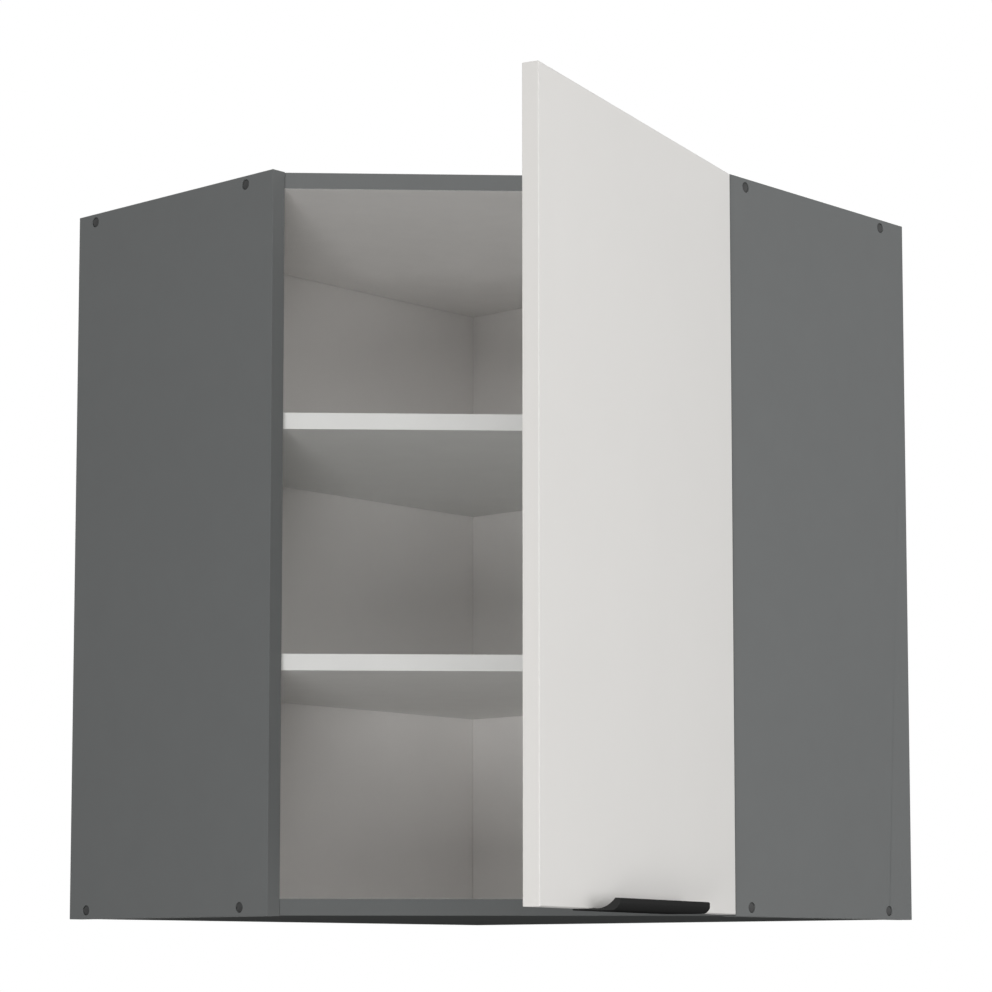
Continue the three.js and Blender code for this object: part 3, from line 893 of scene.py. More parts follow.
LEFT_SIDE_BOARD, RIGHT_SIDE_BOARD, TOP_BOARD = (
    Melamine(f"melamine_board_{name}", GRAPHITE, PALE_INSIDE, inner, sawn)
    for name, inner, sawn in (
        ("left_side", LEFT_INNER, (SAWN_LEFT,)),
        ("right_side", RIGHT_INNER, (SAWN_RIGHT,)),
        ("top", TOP_INNER, (SAWN_LEFT, SAWN_RIGHT)),
    )
)
BOTTOM_BOARD = replace(
    TOP_BOARD,
    name="melamine_board_bottom",
    inner_plane=BOTTOM_INNER,
    roughness=0.8,
    specular=0.0,
)
# Painted shade: the front edge band is given a greyer colour than the shelves' faces.
SHELF_BOARD = Melamine("melamine_board_shelf", "#D8D8D6", "#E5E5E3", BEHIND_SHADED_BAND, roughness=0.5)
LEFT_SHEET = Hardboard("lacquered_hardboard_left", PALE_INSIDE, BARE_FIBRE, BEHIND_LEFT)
RIGHT_SHEET = Hardboard("lacquered_hardboard_right", PALE_INSIDE, BARE_FIBRE, BEHIND_RIGHT)

# The planes of the door's edges stand just past the edges' rounding of 0.8 mm, so that the painted
# shade also darkens the rounding's highlight.
DOOR_RIM = 0.85


def door_plane(normal: Vector, offset: float) -> Plane:
    """Turn a plane of the door's own frame into one of the room frame.

    Args:
        normal: The plane's normal in the door's frame.
        offset: Its distance from the hinge axis.

    Returns:
        The plane at rest.
    """
    turned_normal = DOOR_PLACE.to_3x3() @ normal
    in_room = ROOM.to_3x3().inverted() @ turned_normal
    return Plane(tuple(in_room), offset + DOOR_AXIS.dot(turned_normal))


DOOR_LACQUER = Lacquer(
    "sprayed_satin_lacquer",
    "#E3E1DE",
    # Painted shade on the door's edges, a tone darker than the face.
    "#D4D2CF",
    (
        door_plane(X, DOOR_EDGE - DOOR_WIDTH + DOOR_RIM),
        door_plane(-X, DOOR_RIM - DOOR_EDGE),
        door_plane(Z, DOOR_BOTTOM + DOOR_RIM),
        door_plane(-Z, DOOR_RIM - DOOR_BOTTOM - DOOR_HEIGHT),
    ),
)
BLACK_COAT = PowderCoat("black_powder_coat", "#313131")
NICKEL = PlatedSteel("nickel_plated_steel", "#B4B3AF", 0.3)
ZINC = PlatedSteel("zinc_plated_steel", "#B4B6B8", 0.42)
CAP_PLASTIC = MouldedPlastic("moulded_polyethylene_graphite", "#242525", 0.6)
HOUSING_PLASTIC = MouldedPlastic("moulded_nylon_white", "#E6E5E0", 0.48)
POST_WOOD = Softwood("planed_spruce", "#C9A777", "#A67C4B")


# ---------------------------------------------------------------- the carcass


@dataclass
class Carcass:
    """The boards, the back sheets and the post: nodes of the frame with their finishes."""

    nodes: dict[str, bpy.types.Object]
    boards: dict[str, Finish] = field(
        default_factory=lambda: {
            "left_side_panel": LEFT_SIDE_BOARD,
            "right_side_panel": RIGHT_SIDE_BOARD,
            "top_panel": TOP_BOARD,
            "bottom_panel": BOTTOM_BOARD,
            "lower_shelf": SHELF_BOARD,
            "upper_shelf": SHELF_BOARD,
        }
    )
    sheets: dict[str, Finish] = field(
        default_factory=lambda: {"back_sheet_left": LEFT_SHEET, "back_sheet_right": RIGHT_SHEET}
    )
    board_edge: float = 0.4
    post_edge: float = 0.8

    def build(self) -> None:
        """Dress every board, sheet and the post."""
        for name, finish in self.boards.items():
            dress_node(self.nodes[name], finish, self.board_edge)
        for name, finish in self.sheets.items():
            dress_node(self.nodes[name], finish, 0.0)
        dress_node(self.nodes["corner_post"], POST_WOOD, self.post_edge)


def wall_frame(side: Side, along: float, out: float, height: float, facing: Point3) -> Matrix:
    """Place a shape by its distances along a wall and out from it.

    Args:
        side: The wall.
        along: Distance along it from the corner.
        out: Distance out from it.
        height: Height above the cabinet's underside.
        facing: The level way that the shape's z axis goes, as [along, out, up].

    Returns:
        The placing matrix in the cabinet's frame, in millimetres.
    """
    def swap(p: Point3) -> Vector:
        """Turn wall coordinates into room coordinates."""
        return Vector(p if side is Side.LEFT else (p[1], p[0], p[2]))

    z = swap(facing)
    return ROOM @ axis_frame(z, Z, swap((along, out, height)))


@dataclass
class Fasteners:
    """The screws through the sides, their caps, and the shelf pins."""

    nodes: dict[str, bpy.types.Object]
    wall_length: float = 600.0
    board: float = 16.0
    rows: dict[str, float] = field(default_factory=lambda: {"bottom": 8.5, "top": 707.5})
    columns: dict[Side, dict[str, float]] = field(
        default_factory=lambda: {
            Side.LEFT: {"rear": 25.0, "front": 249.0},
            Side.RIGHT: {"rear": 39.0, "front": 263.0},
        }
    )
    cap_radius: float = 4.75
    cap_depth: float = 2.2
    cap_rim: float = 0.2
    cap_dome: float = 0.7
    # The dome's curve, as shares of the cap's radius and of the dome's height.
    dome_curve: tuple[Point2, ...] = (
        (0.3, 0.06), (0.55, 0.24), (0.74, 0.48), (0.9, 0.78), (0.975, 1.0), (1.0, 1.3),
    )
    crown: float = 0.1
    pin_shank: float = 2.5
    pin_nose: float = 3.0
    pin_in: float = 8.0
    pin_out: float = 9.0
    pin_round: float = 0.7
    pin_ease: float = 0.2
    pin_taper: float = 0.6
    groove: float = 3.6
    groove_depth: float = 0.35
    groove_floor: float = 0.3
    groove_mouth: float = 0.6
    pin_columns: dict[str, float] = field(default_factory=lambda: {"rear": 59.0, "front": 251.0})
    corner_pin: Point2 = (30.0, 48.0)
    gap: float = 0.3

    def cap(self) -> Shape:
        """Shape a cover cap: a shallow dome with a soft rim.

        Returns:
            The cap, sunk along +z from its crown.
        """
        r, top, end = self.cap_radius, self.crown, self.crown + self.cap_depth
        profile = [(0.0, top)]
        profile += [(r * x, top + self.cap_dome * z) for x, z in self.dome_curve]
        profile += [(r, end - self.cap_rim), (r - self.cap_rim, end), (0.0, end)]
        return turned(profile, 48)

    def pin(self) -> Shape:
        """Shape a shelf pin: a shank, a shoulder and a nose with a turned groove.

        Returns:
            The pin, with its shank along +z from the board's face.
        """
        nose, shank, out, inside = self.pin_nose, self.pin_shank, -self.pin_out, self.pin_in
        r, ease, taper = self.pin_round, self.pin_ease, self.pin_taper
        low, middle, shoulder = nose - self.groove_depth, -self.groove, -self.gap
        profile = [(0.0, out), (nose - r - ease, out), *arc((nose - r, out + r), r, -90, 0, 5)]
        profile += [(nose, middle - self.groove_mouth), (low, middle - self.groove_floor)]
        profile += [(low, middle + self.groove_floor), (nose, middle + self.groove_mouth)]
        profile += [(nose, shoulder - ease), (nose - ease, shoulder), (shank, shoulder)]
        profile += [(shank, inside - taper), (shank - taper, inside), (0.0, inside)]
        return turned(profile)

    def build(self) -> None:
        """Make the caps and the pins, and dress the screws."""
        for side, columns in self.columns.items():
            for row, height in self.rows.items():
                for column, out in columns.items():
                    spot = f"{side.value}_{column}_{row}"
                    place = wall_frame(side, self.wall_length, out, height, (-1.0, 0.0, 0.0))
                    name = f"cover_cap_{spot}"
                    Piece(
                        name, Body.CARCASS, CAP_PLASTIC, "dark_plastic", (f"cap_{spot}",)
                    ).build(self.cap(), place)
                    dress_node(self.nodes[f"screw_{spot}"], ZINC, 0.0)
        inner = self.wall_length - self.board
        for shelf in ("lower_shelf", "upper_shelf"):
            spots = [
                (f"{side.value}_{spot}", wall_frame(side, inner, out, 0.0, (1.0, 0.0, 0.0)))
                for side in Side
                for spot, out in self.pin_columns.items()
            ]
            corner = wall_frame(Side.LEFT, *self.corner_pin, 0.0, (-1.0, 0.0, 0.0))
            spots.append(("corner", corner))
            for spot, place in spots:
                node = f"{shelf}_pin_{spot}"
                low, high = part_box(node)
                place.translation.z = (low.z + high.z) / 2 / MM
                Piece(
                    f"{node}_turned", Body.CARCASS, NICKEL, "nickel", (node,), crease=25.0
                ).build(self.pin(), place)


@dataclass
class Hangers:
    """The two adjustable hangers under the top panel and their hooks behind the back sheets."""

    top: float = 693.5
    height: float = 46.0
    width: float = 17.0
    depth: float = 40.0
    corner: float = 3.0
    edge: float = 0.5
    gap: float = 0.3
    inner: float = 584.0
    sheet: float = 3.0
    hook_sheet: float = 2.5
    hook_height: float = 14.0
    hook_below: float = 9.0
    hook_drop: float = 10.0
    hook_lip: float = 3.0
    hook_from_wall: float = 3.0
    hook_inside: float = 26.0
    hook_round: float = 4.0
    hook_edge: float = 0.3
    pocket_past_hook: float = 4.0
    pocket_above: float = 3.0
    pocket_play: float = 0.5
    # Heights of the two adjusting screws, as shares of the housing's height.
    dials: dict[str, float] = field(default_factory=lambda: {"tilt": 0.28, "lift": 0.72})
    dial: float = 3.4
    dial_sink: float = 0.6
    dial_bevel: Point2 = (0.5, 0.4)
    dial_play: float = 0.1
    well: float = 4.1
    well_depth: float = 2.5
    sheet_inset: dict[Side, float] = field(
        default_factory=lambda: {Side.LEFT: 17.0, Side.RIGHT: 27.0}
    )

    def place(self, side: Side, along: float) -> Matrix:
        """Put [out, up] outlines on a plane across a wall, rising along it.

        Args:
            side: The wall.
            along: Where the outline's plane stands.

        Returns:
            The placing matrix; it may mirror the shape.
        """
        run, out = (X, Y) if side is Side.LEFT else (Y, X)
        matrix = Matrix((out, Z, run)).transposed().to_4x4()
        matrix.translation = run * along
        return ROOM @ matrix

    def housing(self, back: float) -> Shape:
        """Shape a housing: a rounded front, a pocket for the hook and two wells for screws.

        Args:
            back: Distance of its rear face from the wall.

        Returns:
            The housing, with its outline as [out, up] and its width along z.
        """
        front, bottom, r = back + self.depth, self.top - self.height, self.corner
        outline = [(back, bottom), *arc((front - r, bottom + r), r, -90, 0, 6)]
        outline += [*arc((front - r, self.top - r), r, 0, 90, 6), (back, self.top)]
        body = eased(extruded(outline, self.width), self.edge)
        middle, hook_top = self.width / 2, self.top - self.hook_below
        half, room = self.hook_sheet / 2 + self.pocket_play, self.pocket_past_hook
        cuts = [
            block(
                (back - PAST, hook_top - self.hook_height - room, middle - half),
                (back + self.hook_inside + room, hook_top + self.pocket_above, middle + half),
            )
        ]
        deep, r = self.well_depth, self.well
        for share in self.dials.values():
            well = turned([(0.0, -PAST), (r, -PAST), (r, deep), (0.0, deep)])
            spot = Vector((front, bottom + self.height * share, middle))
            cuts.append(moved(well, axis_frame(-X, Y, spot)))
        return combined(body, cuts)

    def dial_screw(self) -> Shape:
        """Shape an adjusting screw's head: a low drum with a cross recess.

        Returns:
            The head, sunk along +z from the housing's face.
        """
        r, top, end = self.dial, self.dial_sink, self.well_depth - self.dial_play
        across, along = self.dial_bevel
        drum = turned([(0.0, top), (r - across, top), (r, top + along), (r, end), (0.0, end)])
        return combined(drum, cross_recess(arm=2.1, width=0.75, top=0.5, depth=1.5))

    def hook(self, inside: float) -> Shape:
        """Shape a hook: a stamped plate with a lip that drops over the wall rail.

        Args:
            inside: Distance of its inner end from the wall.

        Returns:
            The hook, with its outline as [out, up] and its thickness along z.
        """
        top = self.top - self.hook_below
        low = top - self.hook_height
        outline = [(self.hook_from_wall, low - self.hook_drop)]
        outline += [(self.hook_from_wall + self.hook_lip, low - self.hook_drop)]
        outline += [(self.hook_from_wall + self.hook_lip, low), (inside, low), (inside, top)]
        r = self.hook_round
        outline += arc((self.hook_from_wall + r, top - r), r, 90, 180, 8)
        return eased(extruded(outline, self.hook_sheet), self.hook_edge)

    def build(self) -> None:
        """Make both hangers."""
        middle = self.inner - self.gap - self.width / 2
        for side in Side:
            back = self.sheet_inset[side] + self.sheet + self.gap
            name = f"hanger_{side.value}"
            place = self.place(side, self.inner - self.gap - self.width)
            moulded, node = f"{name}_moulded", f"{name}_housing"
            Piece(moulded, Body.CARCASS, HOUSING_PLASTIC, "white_plastic", (node,)).build(
                self.housing(back), place
            )
            for spot, share in self.dials.items():
                height = self.top - self.height * (1 - share)
                face = Vector((back + self.depth, height, self.width / 2))
                Piece(f"{name}_{spot}_screw", Body.CARCASS, ZINC, "zinc").build(
                    self.dial_screw(), place @ axis_frame(-X, Y, face)
                )
            Piece(f"{name}_stamped", Body.CARCASS, ZINC, "zinc", (f"{name}_hook",)).build(
                self.hook(back + self.hook_inside),
                self.place(side, middle - self.hook_sheet / 2),
            )


def cross_recess(arm: float, width: float, top: float, depth: float) -> list[Shape]:
    """Shape the two crossing cutters of a screw head's recess.

    Args:
        arm: Half the length of an arm.
        width: Width of an arm.
        top: Height of the head's face.
        depth: Depth of the recess, along +z.

    Returns:
        Two tapered blocks.
    """
    # Each cutter starts above the head and narrows towards the recess's bottom.
    start, narrowing = top - 0.6, (0.35, 0.7, 1.0)
    cutters = []
    for turn in (0.0, 90.0):
        cutter = block((-arm, -width / 2, start), (arm, width / 2, top + depth))
        bottom = [v for v in cutter.verts if v.co.z > top]
        bmesh.ops.scale(cutter, vec=narrowing, verts=bottom)
        cutters.append(moved(cutter, Matrix.Rotation(math.radians(turn), 4, "Z")))
    return cutters


@dataclass
class CountersunkScrew:
    """A countersunk screw along +z whose head lies flush at height 0."""

    head: float
    shank: float
    cone: float
    length: float
    sink: float = 0.05
    rim: Point2 = (0.15, 0.12)
    neck: float = 1.2
    thread_start: float = 1.4
    thread_end: float = 2.8
    thread_depth: float = 0.35
    pitch: float = 1.2
    tip: float = 1.2
    tip_share: float = 0.55
    clearance: float = 0.3
    seat_depth: float = 6.0

    def shape(self) -> Shape:
        """Shape the screw, with its thread as fine ridges and a cross in its head.

        Returns:
            The screw, from its head's face down to its point along +z.
        """
        head, shank, face, point = self.head, self.shank, self.sink, self.length
        under, core = face + self.cone, shank - self.thread_depth
        across, along = self.rim
        profile = [(0.0, face), (head - across, face), (head, face + along)]
        profile += [(shank, under), (shank, under + self.neck)]
        start, end = under + self.thread_start, point - self.thread_end
        for i in range(int((end - start) / self.pitch)):
            z = start + i * self.pitch
            profile += [(core, z), (shank, z + self.pitch / 2)]
        profile += [(core, end), (shank * self.tip_share, point - self.tip), (0.0, point)]
        cross = cross_recess(arm=head * 0.62, width=0.8, top=face, depth=1.1)
        return combined(turned(profile), cross)

    def seat(self) -> Shape:
        """Shape the cutter for the screw's countersunk hole in a thin plate.

        Returns:
            The cutter, in the screw's own place.
        """
        head, hole = self.head + self.clearance, self.shank + self.clearance
        under, end = self.sink + self.cone, self.seat_depth
        profile = [(0.0, -PAST), (head, -PAST), (head, self.sink), (hole, under), (hole, end)]
        return turned([*profile, (0.0, end)])


# ---------------------------------------------------------------- the door


@dataclass
class Hinges:
    """Two knuckle hinges whose leaves are let into the edges of the door and the right side."""

    heights: dict[str, float] = field(
        default_factory=lambda: {"lower_hinge": 101.5, "upper_hinge": 614.5}
    )
    leaf_width: float = 12.0
    leaf_height: float = 96.0
    leaf_sheet: float = 1.2
    leaf_corner: float = 2.0
    leaf_edge: float = 0.2
    screw_spread: float = 38.0
    knuckles: int = 5
    run: float = 56.0
    radius: float = 2.9
    bore: float = 1.5
    knuckle_edge: float = 0.35
    web: float = 2.6
    # The pin's head, as [radius, height above its seat]: the shank, a drum and a dome.
    pin_head: tuple[Point2, ...] = (
        (1.2, 0.0), (2.2, 0.0), (2.4, 0.2), (2.4, 0.6),
        (2.22, 0.95), (1.68, 1.22), (0.96, 1.36), (0.0, 1.4),
    )
    gap: float = 0.3
    side_depth: float = 288.0
    side_middle: float = 592.0
    screw: CountersunkScrew = field(
        default_factory=lambda: CountersunkScrew(head=3.0, shank=1.6, cone=1.4, length=20.0)
    )

    def level(self, number: int) -> Span:
        """Give a knuckle's lower and upper end.

        Args:
            number: Its place in the run, from the bottom.

        Returns:
            Both heights above the middle of the hinge.
        """
        length = (self.run - (self.knuckles - 1) * self.gap) / self.knuckles
        low = -self.run / 2 + number * (length + self.gap)
        return low, low + length

    def knuckle(self, number: int) -> Shape:
        """Shape one rolled knuckle with its bore.

        Args:
            number: Its place in the run, from the bottom.

        Returns:
            A ring whose ends are eased.
        """
        low, high = self.level(number)
        bore, r, ease = self.bore, self.radius, self.knuckle_edge
        profile = [(bore, low), (r - ease, low), (r, low + ease)]
        profile += [(r, high - ease), (r - ease, high), (bore, high), (bore, low)]
        return turned(profile, 40)

    def leaf(self, reach: float, y: float, numbers: tuple[int, ...]) -> Shape:
        """Shape one leaf about its pin on the z axis.

        Args:
            reach: Distance from the axis to the leaf's face.
            y: Place of the plate's middle.
            numbers: The knuckles that it carries.

        Returns:
            The leaf, with screw seats, knuckles and webs.
        """
        size = (self.leaf_width, self.leaf_height, self.leaf_sheet)
        sheet = plate(*size, self.leaf_corner, self.leaf_edge)
        moved(sheet, axis_frame(-X, Z, Vector((-reach, y, 0.0))))
        inside, outside = -reach - self.leaf_sheet / 2, -(self.bore + self.radius) / 2
        webs = []
        for number in numbers:
            low, high = self.level(number)
            webs.append(block((inside, -self.web / 2, low), (outside, self.web / 2, high)))
        rings = [self.knuckle(number) for number in numbers]
        whole = combined(sheet, webs + rings, "UNION")
        seats = [
            moved(self.screw.seat(), axis_frame(-X, Z, Vector((-reach, y, height))))
            for height in (-self.screw_spread, self.screw_spread)
        ]
        return combined(whole, seats)

    def hinge_pin(self) -> Shape:
        """Shape the pin, with a round head beyond each end knuckle.

        Returns:
            The pin, about the middle of the hinge.
        """
        half = [(r, self.run / 2 + self.gap + z) for r, z in self.pin_head]
        return turned([(r, -z) for r, z in reversed(half)] + half)

    def build(self) -> None:
        """Make both hinges."""
        axis = ROOM.inverted() @ DOOR_AXIS
        reach, middle = axis.x - self.side_depth, self.side_middle - axis.y
        for name, height in self.heights.items():
            on_side = ROOM @ Matrix.Translation(Vector((axis.x, axis.y, height)))
            on_door = DOOR_PLACE @ Matrix.Translation(Vector((0.0, 0.0, height)))
            halves = (
                ("side", Body.CARCASS, on_side, reach, middle, (0, 2, 4)),
                ("door", Body.DOOR, on_door, -DOOR_EDGE, (DOOR_INNER + DOOR_OUTER) / 2, (1, 3)),
            )
            for half, body, place, out, y, numbers in halves:
                node = f"{name}_{half}_leaf"
                Piece(f"{node}_rolled", body, NICKEL, "nickel", (node,)).build(
                    self.leaf(out, y, numbers), place
                )
                for spot, way in (("low", -1), ("high", 1)):
                    node = f"{name}_{half}_screw_{spot}"
                    turn = axis_frame(-X, Z, Vector((-out, y, way * self.screw_spread)))
                    Piece(f"{node}_cut", body, NICKEL, "nickel", (node,)).build(
                        self.screw.shape(), place @ turn
                    )
            Piece(f"{name}_pin_headed", Body.CARCASS, ZINC, "zinc", (f"{name}_pin",)).build(
                self.hinge_pin(), on_side
            )


@dataclass
class EdgePull:
    """The pull under the door's lower edge: a leg, a plate and a hooked grip of folded metal."""

    start: float = -323.6
    length: float = 196.5
    sheet: float = 1.2
    leg_height: float = 18.0
    grip_start: float = 3.0
    grip_radius: float = 25.0
    grip_turn: float = 51.3
    lip_corner: float = 2.2
    nose_depth: float = 26.5
    nose_radius: float = 9.7
    nose_lean: float = 18.0
    plan_corner: float = 1.5
    gap: float = 0.3
    screw_inset: float = 40.0
    screw_height: float = 12.0
    edge: float = 0.3
    screw: CountersunkScrew = field(
        default_factory=lambda: CountersunkScrew(head=3.4, shank=1.7, cone=1.3, length=13.5)
    )

    def section(self) -> list[Point2]:
        """Draw the section: leg, plate, concave grip, lip and leaning nose.

        Returns:
            Its points as [out from the door's outer face, height].
        """
        top = DOOR_BOTTOM - self.gap
        bottom = top - self.sheet
        leg_front = DOOR_INNER - DOOR_OUTER + self.gap
        leg_back = leg_front + self.sheet
        grip = arc(
            (self.grip_start, top + self.grip_radius),
            self.grip_radius,
            -90,
            self.grip_turn - 90,
            20,
        )
        corner = self.lip_corner
        lip = arc((self.nose_depth - corner, grip[-1][1] - corner), corner, 90, 0, 8)
        reach = self.nose_radius * math.cos(math.radians(self.nose_lean))
        nose = arc(
            (self.nose_depth - reach, bottom + reach),
            self.nose_radius,
            -self.nose_lean,
            self.nose_lean - 90,
            12,
        )
        points = [(-leg_back, bottom), (-leg_back, top + self.leg_height)]
        points += [(-leg_front, top + self.leg_height), (-leg_front, top), *grip]
        return points + lip + nose

    def shape(self) -> Shape:
        """Shape the pull and round its ends as seen from above.

        Returns:
            The pull in the door's frame.
        """
        outward = Matrix((-Y, Z, -X)).transposed().to_4x4()
        end = self.start + self.length
        bent = extruded(self.section(), self.length)
        moved(bent, Matrix.Translation(Vector((end, DOOR_OUTER, 0.0))) @ outward)
        nearest = DOOR_OUTER - self.nose_depth
        behind = DOOR_INNER + self.gap + self.sheet + PAST
        r = self.plan_corner
        outline = [(self.start, behind)]
        outline += arc((self.start + r, nearest + r), r, 180, 270, 8)
        outline += arc((end - r, nearest + r), r, 270, 360, 8)
        outline += [(end, behind)]
        below, tall = -20.0, 60.0
        footprint = moved(extruded(outline, tall), Matrix.Translation(Z * below))
        return eased(combined(bent, [footprint], "INTERSECT"), self.edge, 2, 40.0)

    def build(self) -> None:
        """Make the pull and its two screws."""
        face = DOOR_INNER + self.gap + self.sheet
        places = {
            "left": self.start + self.screw_inset,
            "right": self.start + self.length - self.screw_inset,
        }
        spots = {
            spot: axis_frame(-Y, Z, Vector((x, face, self.screw_height)))
            for spot, x in places.items()
        }
        seats = [moved(self.screw.seat(), turn) for turn in spots.values()]
        # The crease above the nose is a bend of 18 degrees, and it stays sharp.
        Piece(
            "edge_pull_folded", Body.DOOR, BLACK_COAT, "black_metal", ("handle",), crease=14.0
        ).build(combined(self.shape(), seats), DOOR_PLACE)
        for spot, turn in spots.items():
            node = f"handle_screw_{spot}"
            Piece(f"{node}_cut", Body.DOOR, BLACK_COAT, "black_metal", (node,)).build(
                self.screw.shape(), DOOR_PLACE @ turn
            )


@dataclass
class Catch:
    """The magnetic catch under the top panel and its strike plate on the door."""

    centre: float = 63.0
    width: float = 46.0
    depth: float = 18.0
    height: float = 13.0
    nose: float = 4.0
    nose_width: float = 30.0
    nose_inset: float = 1.5
    front: float = -617.22
    top: float = 699.2
    corner: float = 3.0
    edge: float = 0.5
    nose_edge: float = 0.6
    strike: Point3 = (34.0, 11.0, 1.0)
    strike_corner: float = 2.0
    strike_edge: float = 0.2
    gap: float = 0.3

    def body(self) -> Shape:
        """Shape the catch's body and the narrower nose that holds its magnet.

        Returns:
            The catch in the cabinet's frame.
        """
        case_front, low = self.front + self.nose, self.top - self.height
        case = plate(self.width, self.depth, self.height, self.corner, self.edge)
        middle = Vector((self.centre, case_front + self.depth / 2, low))
        moved(case, Matrix.Translation(middle))
        half, inset = self.nose_width / 2, self.nose_inset
        nose = block(
            (self.centre - half, self.front, low + inset),
            (self.centre + half, case_front + PAST, self.top - inset),
        )
        return combined(case, [eased(nose, self.nose_edge)], "UNION")

    def build(self) -> None:
        """Make the catch and the strike plate."""
        name, node = "magnetic_catch_moulded", "magnetic_catch"
        Piece(name, Body.CARCASS, HOUSING_PLASTIC, "white_plastic", (node,)).build(
            self.body(), Matrix.Identity(4)
        )
        sheet = self.strike[2]
        face = DOOR_INNER + self.gap + sheet
        middle = Vector((self.centre - DOOR_AXIS.x, face, self.top - self.height / 2))
        Piece("strike_plate_pressed", Body.DOOR, ZINC, "zinc", ("strike_plate",)).build(
            plate(*self.strike, self.strike_corner, self.strike_edge),
            DOOR_PLACE @ axis_frame(-Y, Z, middle),
        )


# ---------------------------------------------------------------- studio
# The studio's lengths are in metres.


@dataclass(frozen=True)
class FloorPaper(Finish):
    """A roll of pale matt studio paper, seen as plain white away from the object."""

    name: str = "matt_studio_paper"
    lit: str = "#767675"
    seen: str = "#E9E9E7"
    near: float = 0.8
    far: float = 1.9

    def dress(self, tree: Tree, shader: Node, point: Socket) -> None:
        """Lay the paper's fibres and fade it to white between the near and the far distance.

        Args:
            tree: The material's node tree.
            shader: Its Principled node.
            point: Object coordinates of the shaded point.
        """
        # Fibre clouds of 4 mm.
        fibres = add_node(
            tree, "ShaderNodeTexNoise", inputs={"Vector": point, "Scale": 1 / (4 * MM)}
        )
        path = add_node(tree, "ShaderNodeLightPath")
        seen = add_node(
            tree,
            "ShaderNodeMath",
            {"operation": "MAXIMUM"},
            {0: path.outputs["Is Camera Ray"], 1: path.outputs["Is Glossy Ray"]},
        )
        # The paper throws little light back up, so the cabinet's underside stays in shade.
        colour = add_node(
            tree,
            "ShaderNodeMix",
            {"data_type": "RGBA"},
            {MIX_FACTOR: seen.outputs[0], MIX_A: linear(self.lit), MIX_B: linear(self.seen)},
        )
        tree.links.new(colour.outputs[MIX_RESULT], shader.inputs["Base Color"])
        shader.inputs["Roughness"].default_value = 0.9
        relief(tree, shader, fibres.outputs["Fac"], 0.05)
        reach = add_node(tree, "ShaderNodeVectorMath", {"operation": "LENGTH"}, {0: point})
        away = add_node(
            tree,
            "ShaderNodeMapRange",
            inputs={
                "Value": reach.outputs["Value"],
                "From Min": self.near,
                "From Max": self.far,
            },
        )
        white_share = add_node(
            tree,
            "ShaderNodeMath",
            {"operation": "MULTIPLY"},
            {0: away.outputs[0], 1: path.outputs["Is Camera Ray"]},
        )
        white = add_node(tree, "ShaderNodeEmission", inputs={"Strength": 1.0})
        mixed = add_node(
            tree,
            "ShaderNodeMixShader",
            inputs={0: white_share.outputs[0], 1: shader.outputs[0], 2: white.outputs[0]},
        )
        output = tree.nodes["Material Output"]
        tree.links.new(mixed.outputs[0], output.inputs["Surface"])


@dataclass
class Lamp:
    """One soft area lamp."""

    name: str
    place: Point3
    aim: Point3
    size: float
    power: float

    def build(self) -> None:
        """Hang the lamp and turn it to its aim."""
        data = bpy.data.lights.new(self.name, "AREA")
        data.shape = "SQUARE"
        data.size = self.size
        data.energy = self.power
        lamp = bpy.data.objects.new(self.name, data)
        lamp.location = self.place
        away = Vector(self.place) - Vector(self.aim)
        lamp.rotation_euler = away.to_track_quat("Z", "Y").to_euler()
        lamp.visible_camera = False
        bpy.context.scene.collection.objects.link(lamp)


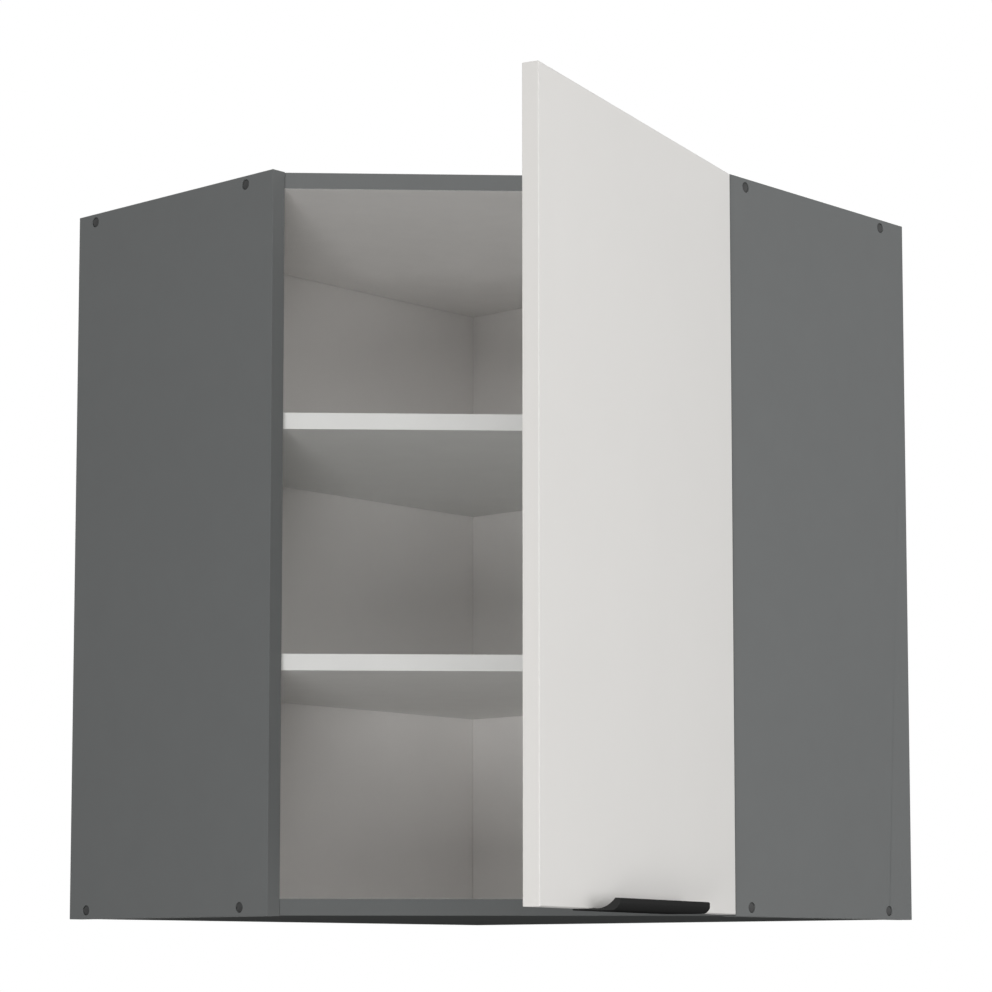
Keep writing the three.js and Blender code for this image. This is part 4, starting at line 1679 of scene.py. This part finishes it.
@dataclass
class Studio:
    """The floor, the white surround, the lamps and the camera."""

    floor_height: float = -0.9
    floor_size: float = 12.0
    surround: float = 0.45
    lamps: tuple[Lamp, ...] = (
        Lamp("low_lamp", (-0.38, -2.7, -0.52), (0.0, -0.6, 0.36), 0.6, 16.5),
        Lamp("upper_lamp", (-0.25, -3.2, 1.5), (0.0, -0.6, 0.36), 1.8, 30.0),
        Lamp("right_lamp", (3.3, -1.6, 0.3), (0.0, -0.5, 0.36), 2.8, 41.5),
        Lamp("back_lamp", (0.0, 2.6, 2.4), (0.0, -0.3, 0.36), 2.4, 30.0),
    )
    eye: Point3 = (-0.12961, -3.52289, -0.05039)
    turn: float = 2.4470
    pitch: float = 6.0471
    lens: float = 111.404
    shift: float = 0.15

    def floor(self) -> None:
        """Lay the floor, wide enough that no view sees its edge."""
        mesh = bmesh.new()
        bmesh.ops.create_grid(mesh, x_segments=2, y_segments=2, size=self.floor_size / 2)
        data = bpy.data.meshes.new("studio_floor")
        bmesh.ops.translate(mesh, vec=(0.0, 0.0, self.floor_height), verts=mesh.verts)
        mesh.to_mesh(data)
        mesh.free()
        data.materials.append(FloorPaper().material())
        floor = bpy.data.objects.new("studio_floor", data)
        bpy.context.scene.collection.objects.link(floor)

    def world(self) -> None:
        """Surround the scene with light that the camera and gloss see as white."""
        world = bpy.data.worlds.new("studio_surround")
        bpy.context.scene.world = world
        world.use_nodes = True
        tree = world.node_tree
        background = tree.nodes["Background"]
        background.inputs["Color"].default_value = (1.0, 1.0, 1.0, 1.0)
        path = add_node(tree, "ShaderNodeLightPath")
        seen = path.outputs["Is Camera Ray"]
        for ray in ("Is Glossy Ray", "Is Transmission Ray"):
            either = add_node(
                tree, "ShaderNodeMath", {"operation": "MAXIMUM"}, {0: seen, 1: path.outputs[ray]}
            )
            seen = either.outputs[0]
        strength = add_node(
            tree,
            "ShaderNodeMapRange",
            inputs={"Value": seen, "To Min": self.surround, "To Max": 1.0},
        )
        tree.links.new(strength.outputs[0], background.inputs["Strength"])

    def camera(self) -> None:
        """Place the camera where the photograph was taken."""
        data = bpy.data.cameras.new("camera")
        data.sensor_width = 36.0
        data.lens = self.lens
        data.shift_y = self.shift
        camera = bpy.data.objects.new("camera", data)
        camera.location = self.eye
        camera.rotation_euler = (
            math.radians(90.0 + self.pitch),
            0.0,
            math.radians(-self.turn),
        )
        bpy.context.scene.collection.objects.link(camera)
        bpy.context.scene.camera = camera

    def build(self) -> None:
        """Set the studio up."""
        scene = bpy.context.scene
        scene.view_settings.view_transform = "Standard"
        self.floor()
        self.world()
        for lamp in self.lamps:
            lamp.build()
        self.camera()


def main() -> None:
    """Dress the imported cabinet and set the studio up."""
    logging.basicConfig(level=logging.INFO, format="%(message)s")
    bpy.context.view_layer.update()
    nodes = frame["nodes"]
    Studio().build()
    Carcass(nodes).build()
    Fasteners(nodes).build()
    Hangers().build()
    Hinges().build()
    dress_node(nodes["door_panel"], DOOR_LACQUER, 0.0)
    EdgePull().build()
    Catch().build()


if __name__ == "__main__":
    main()
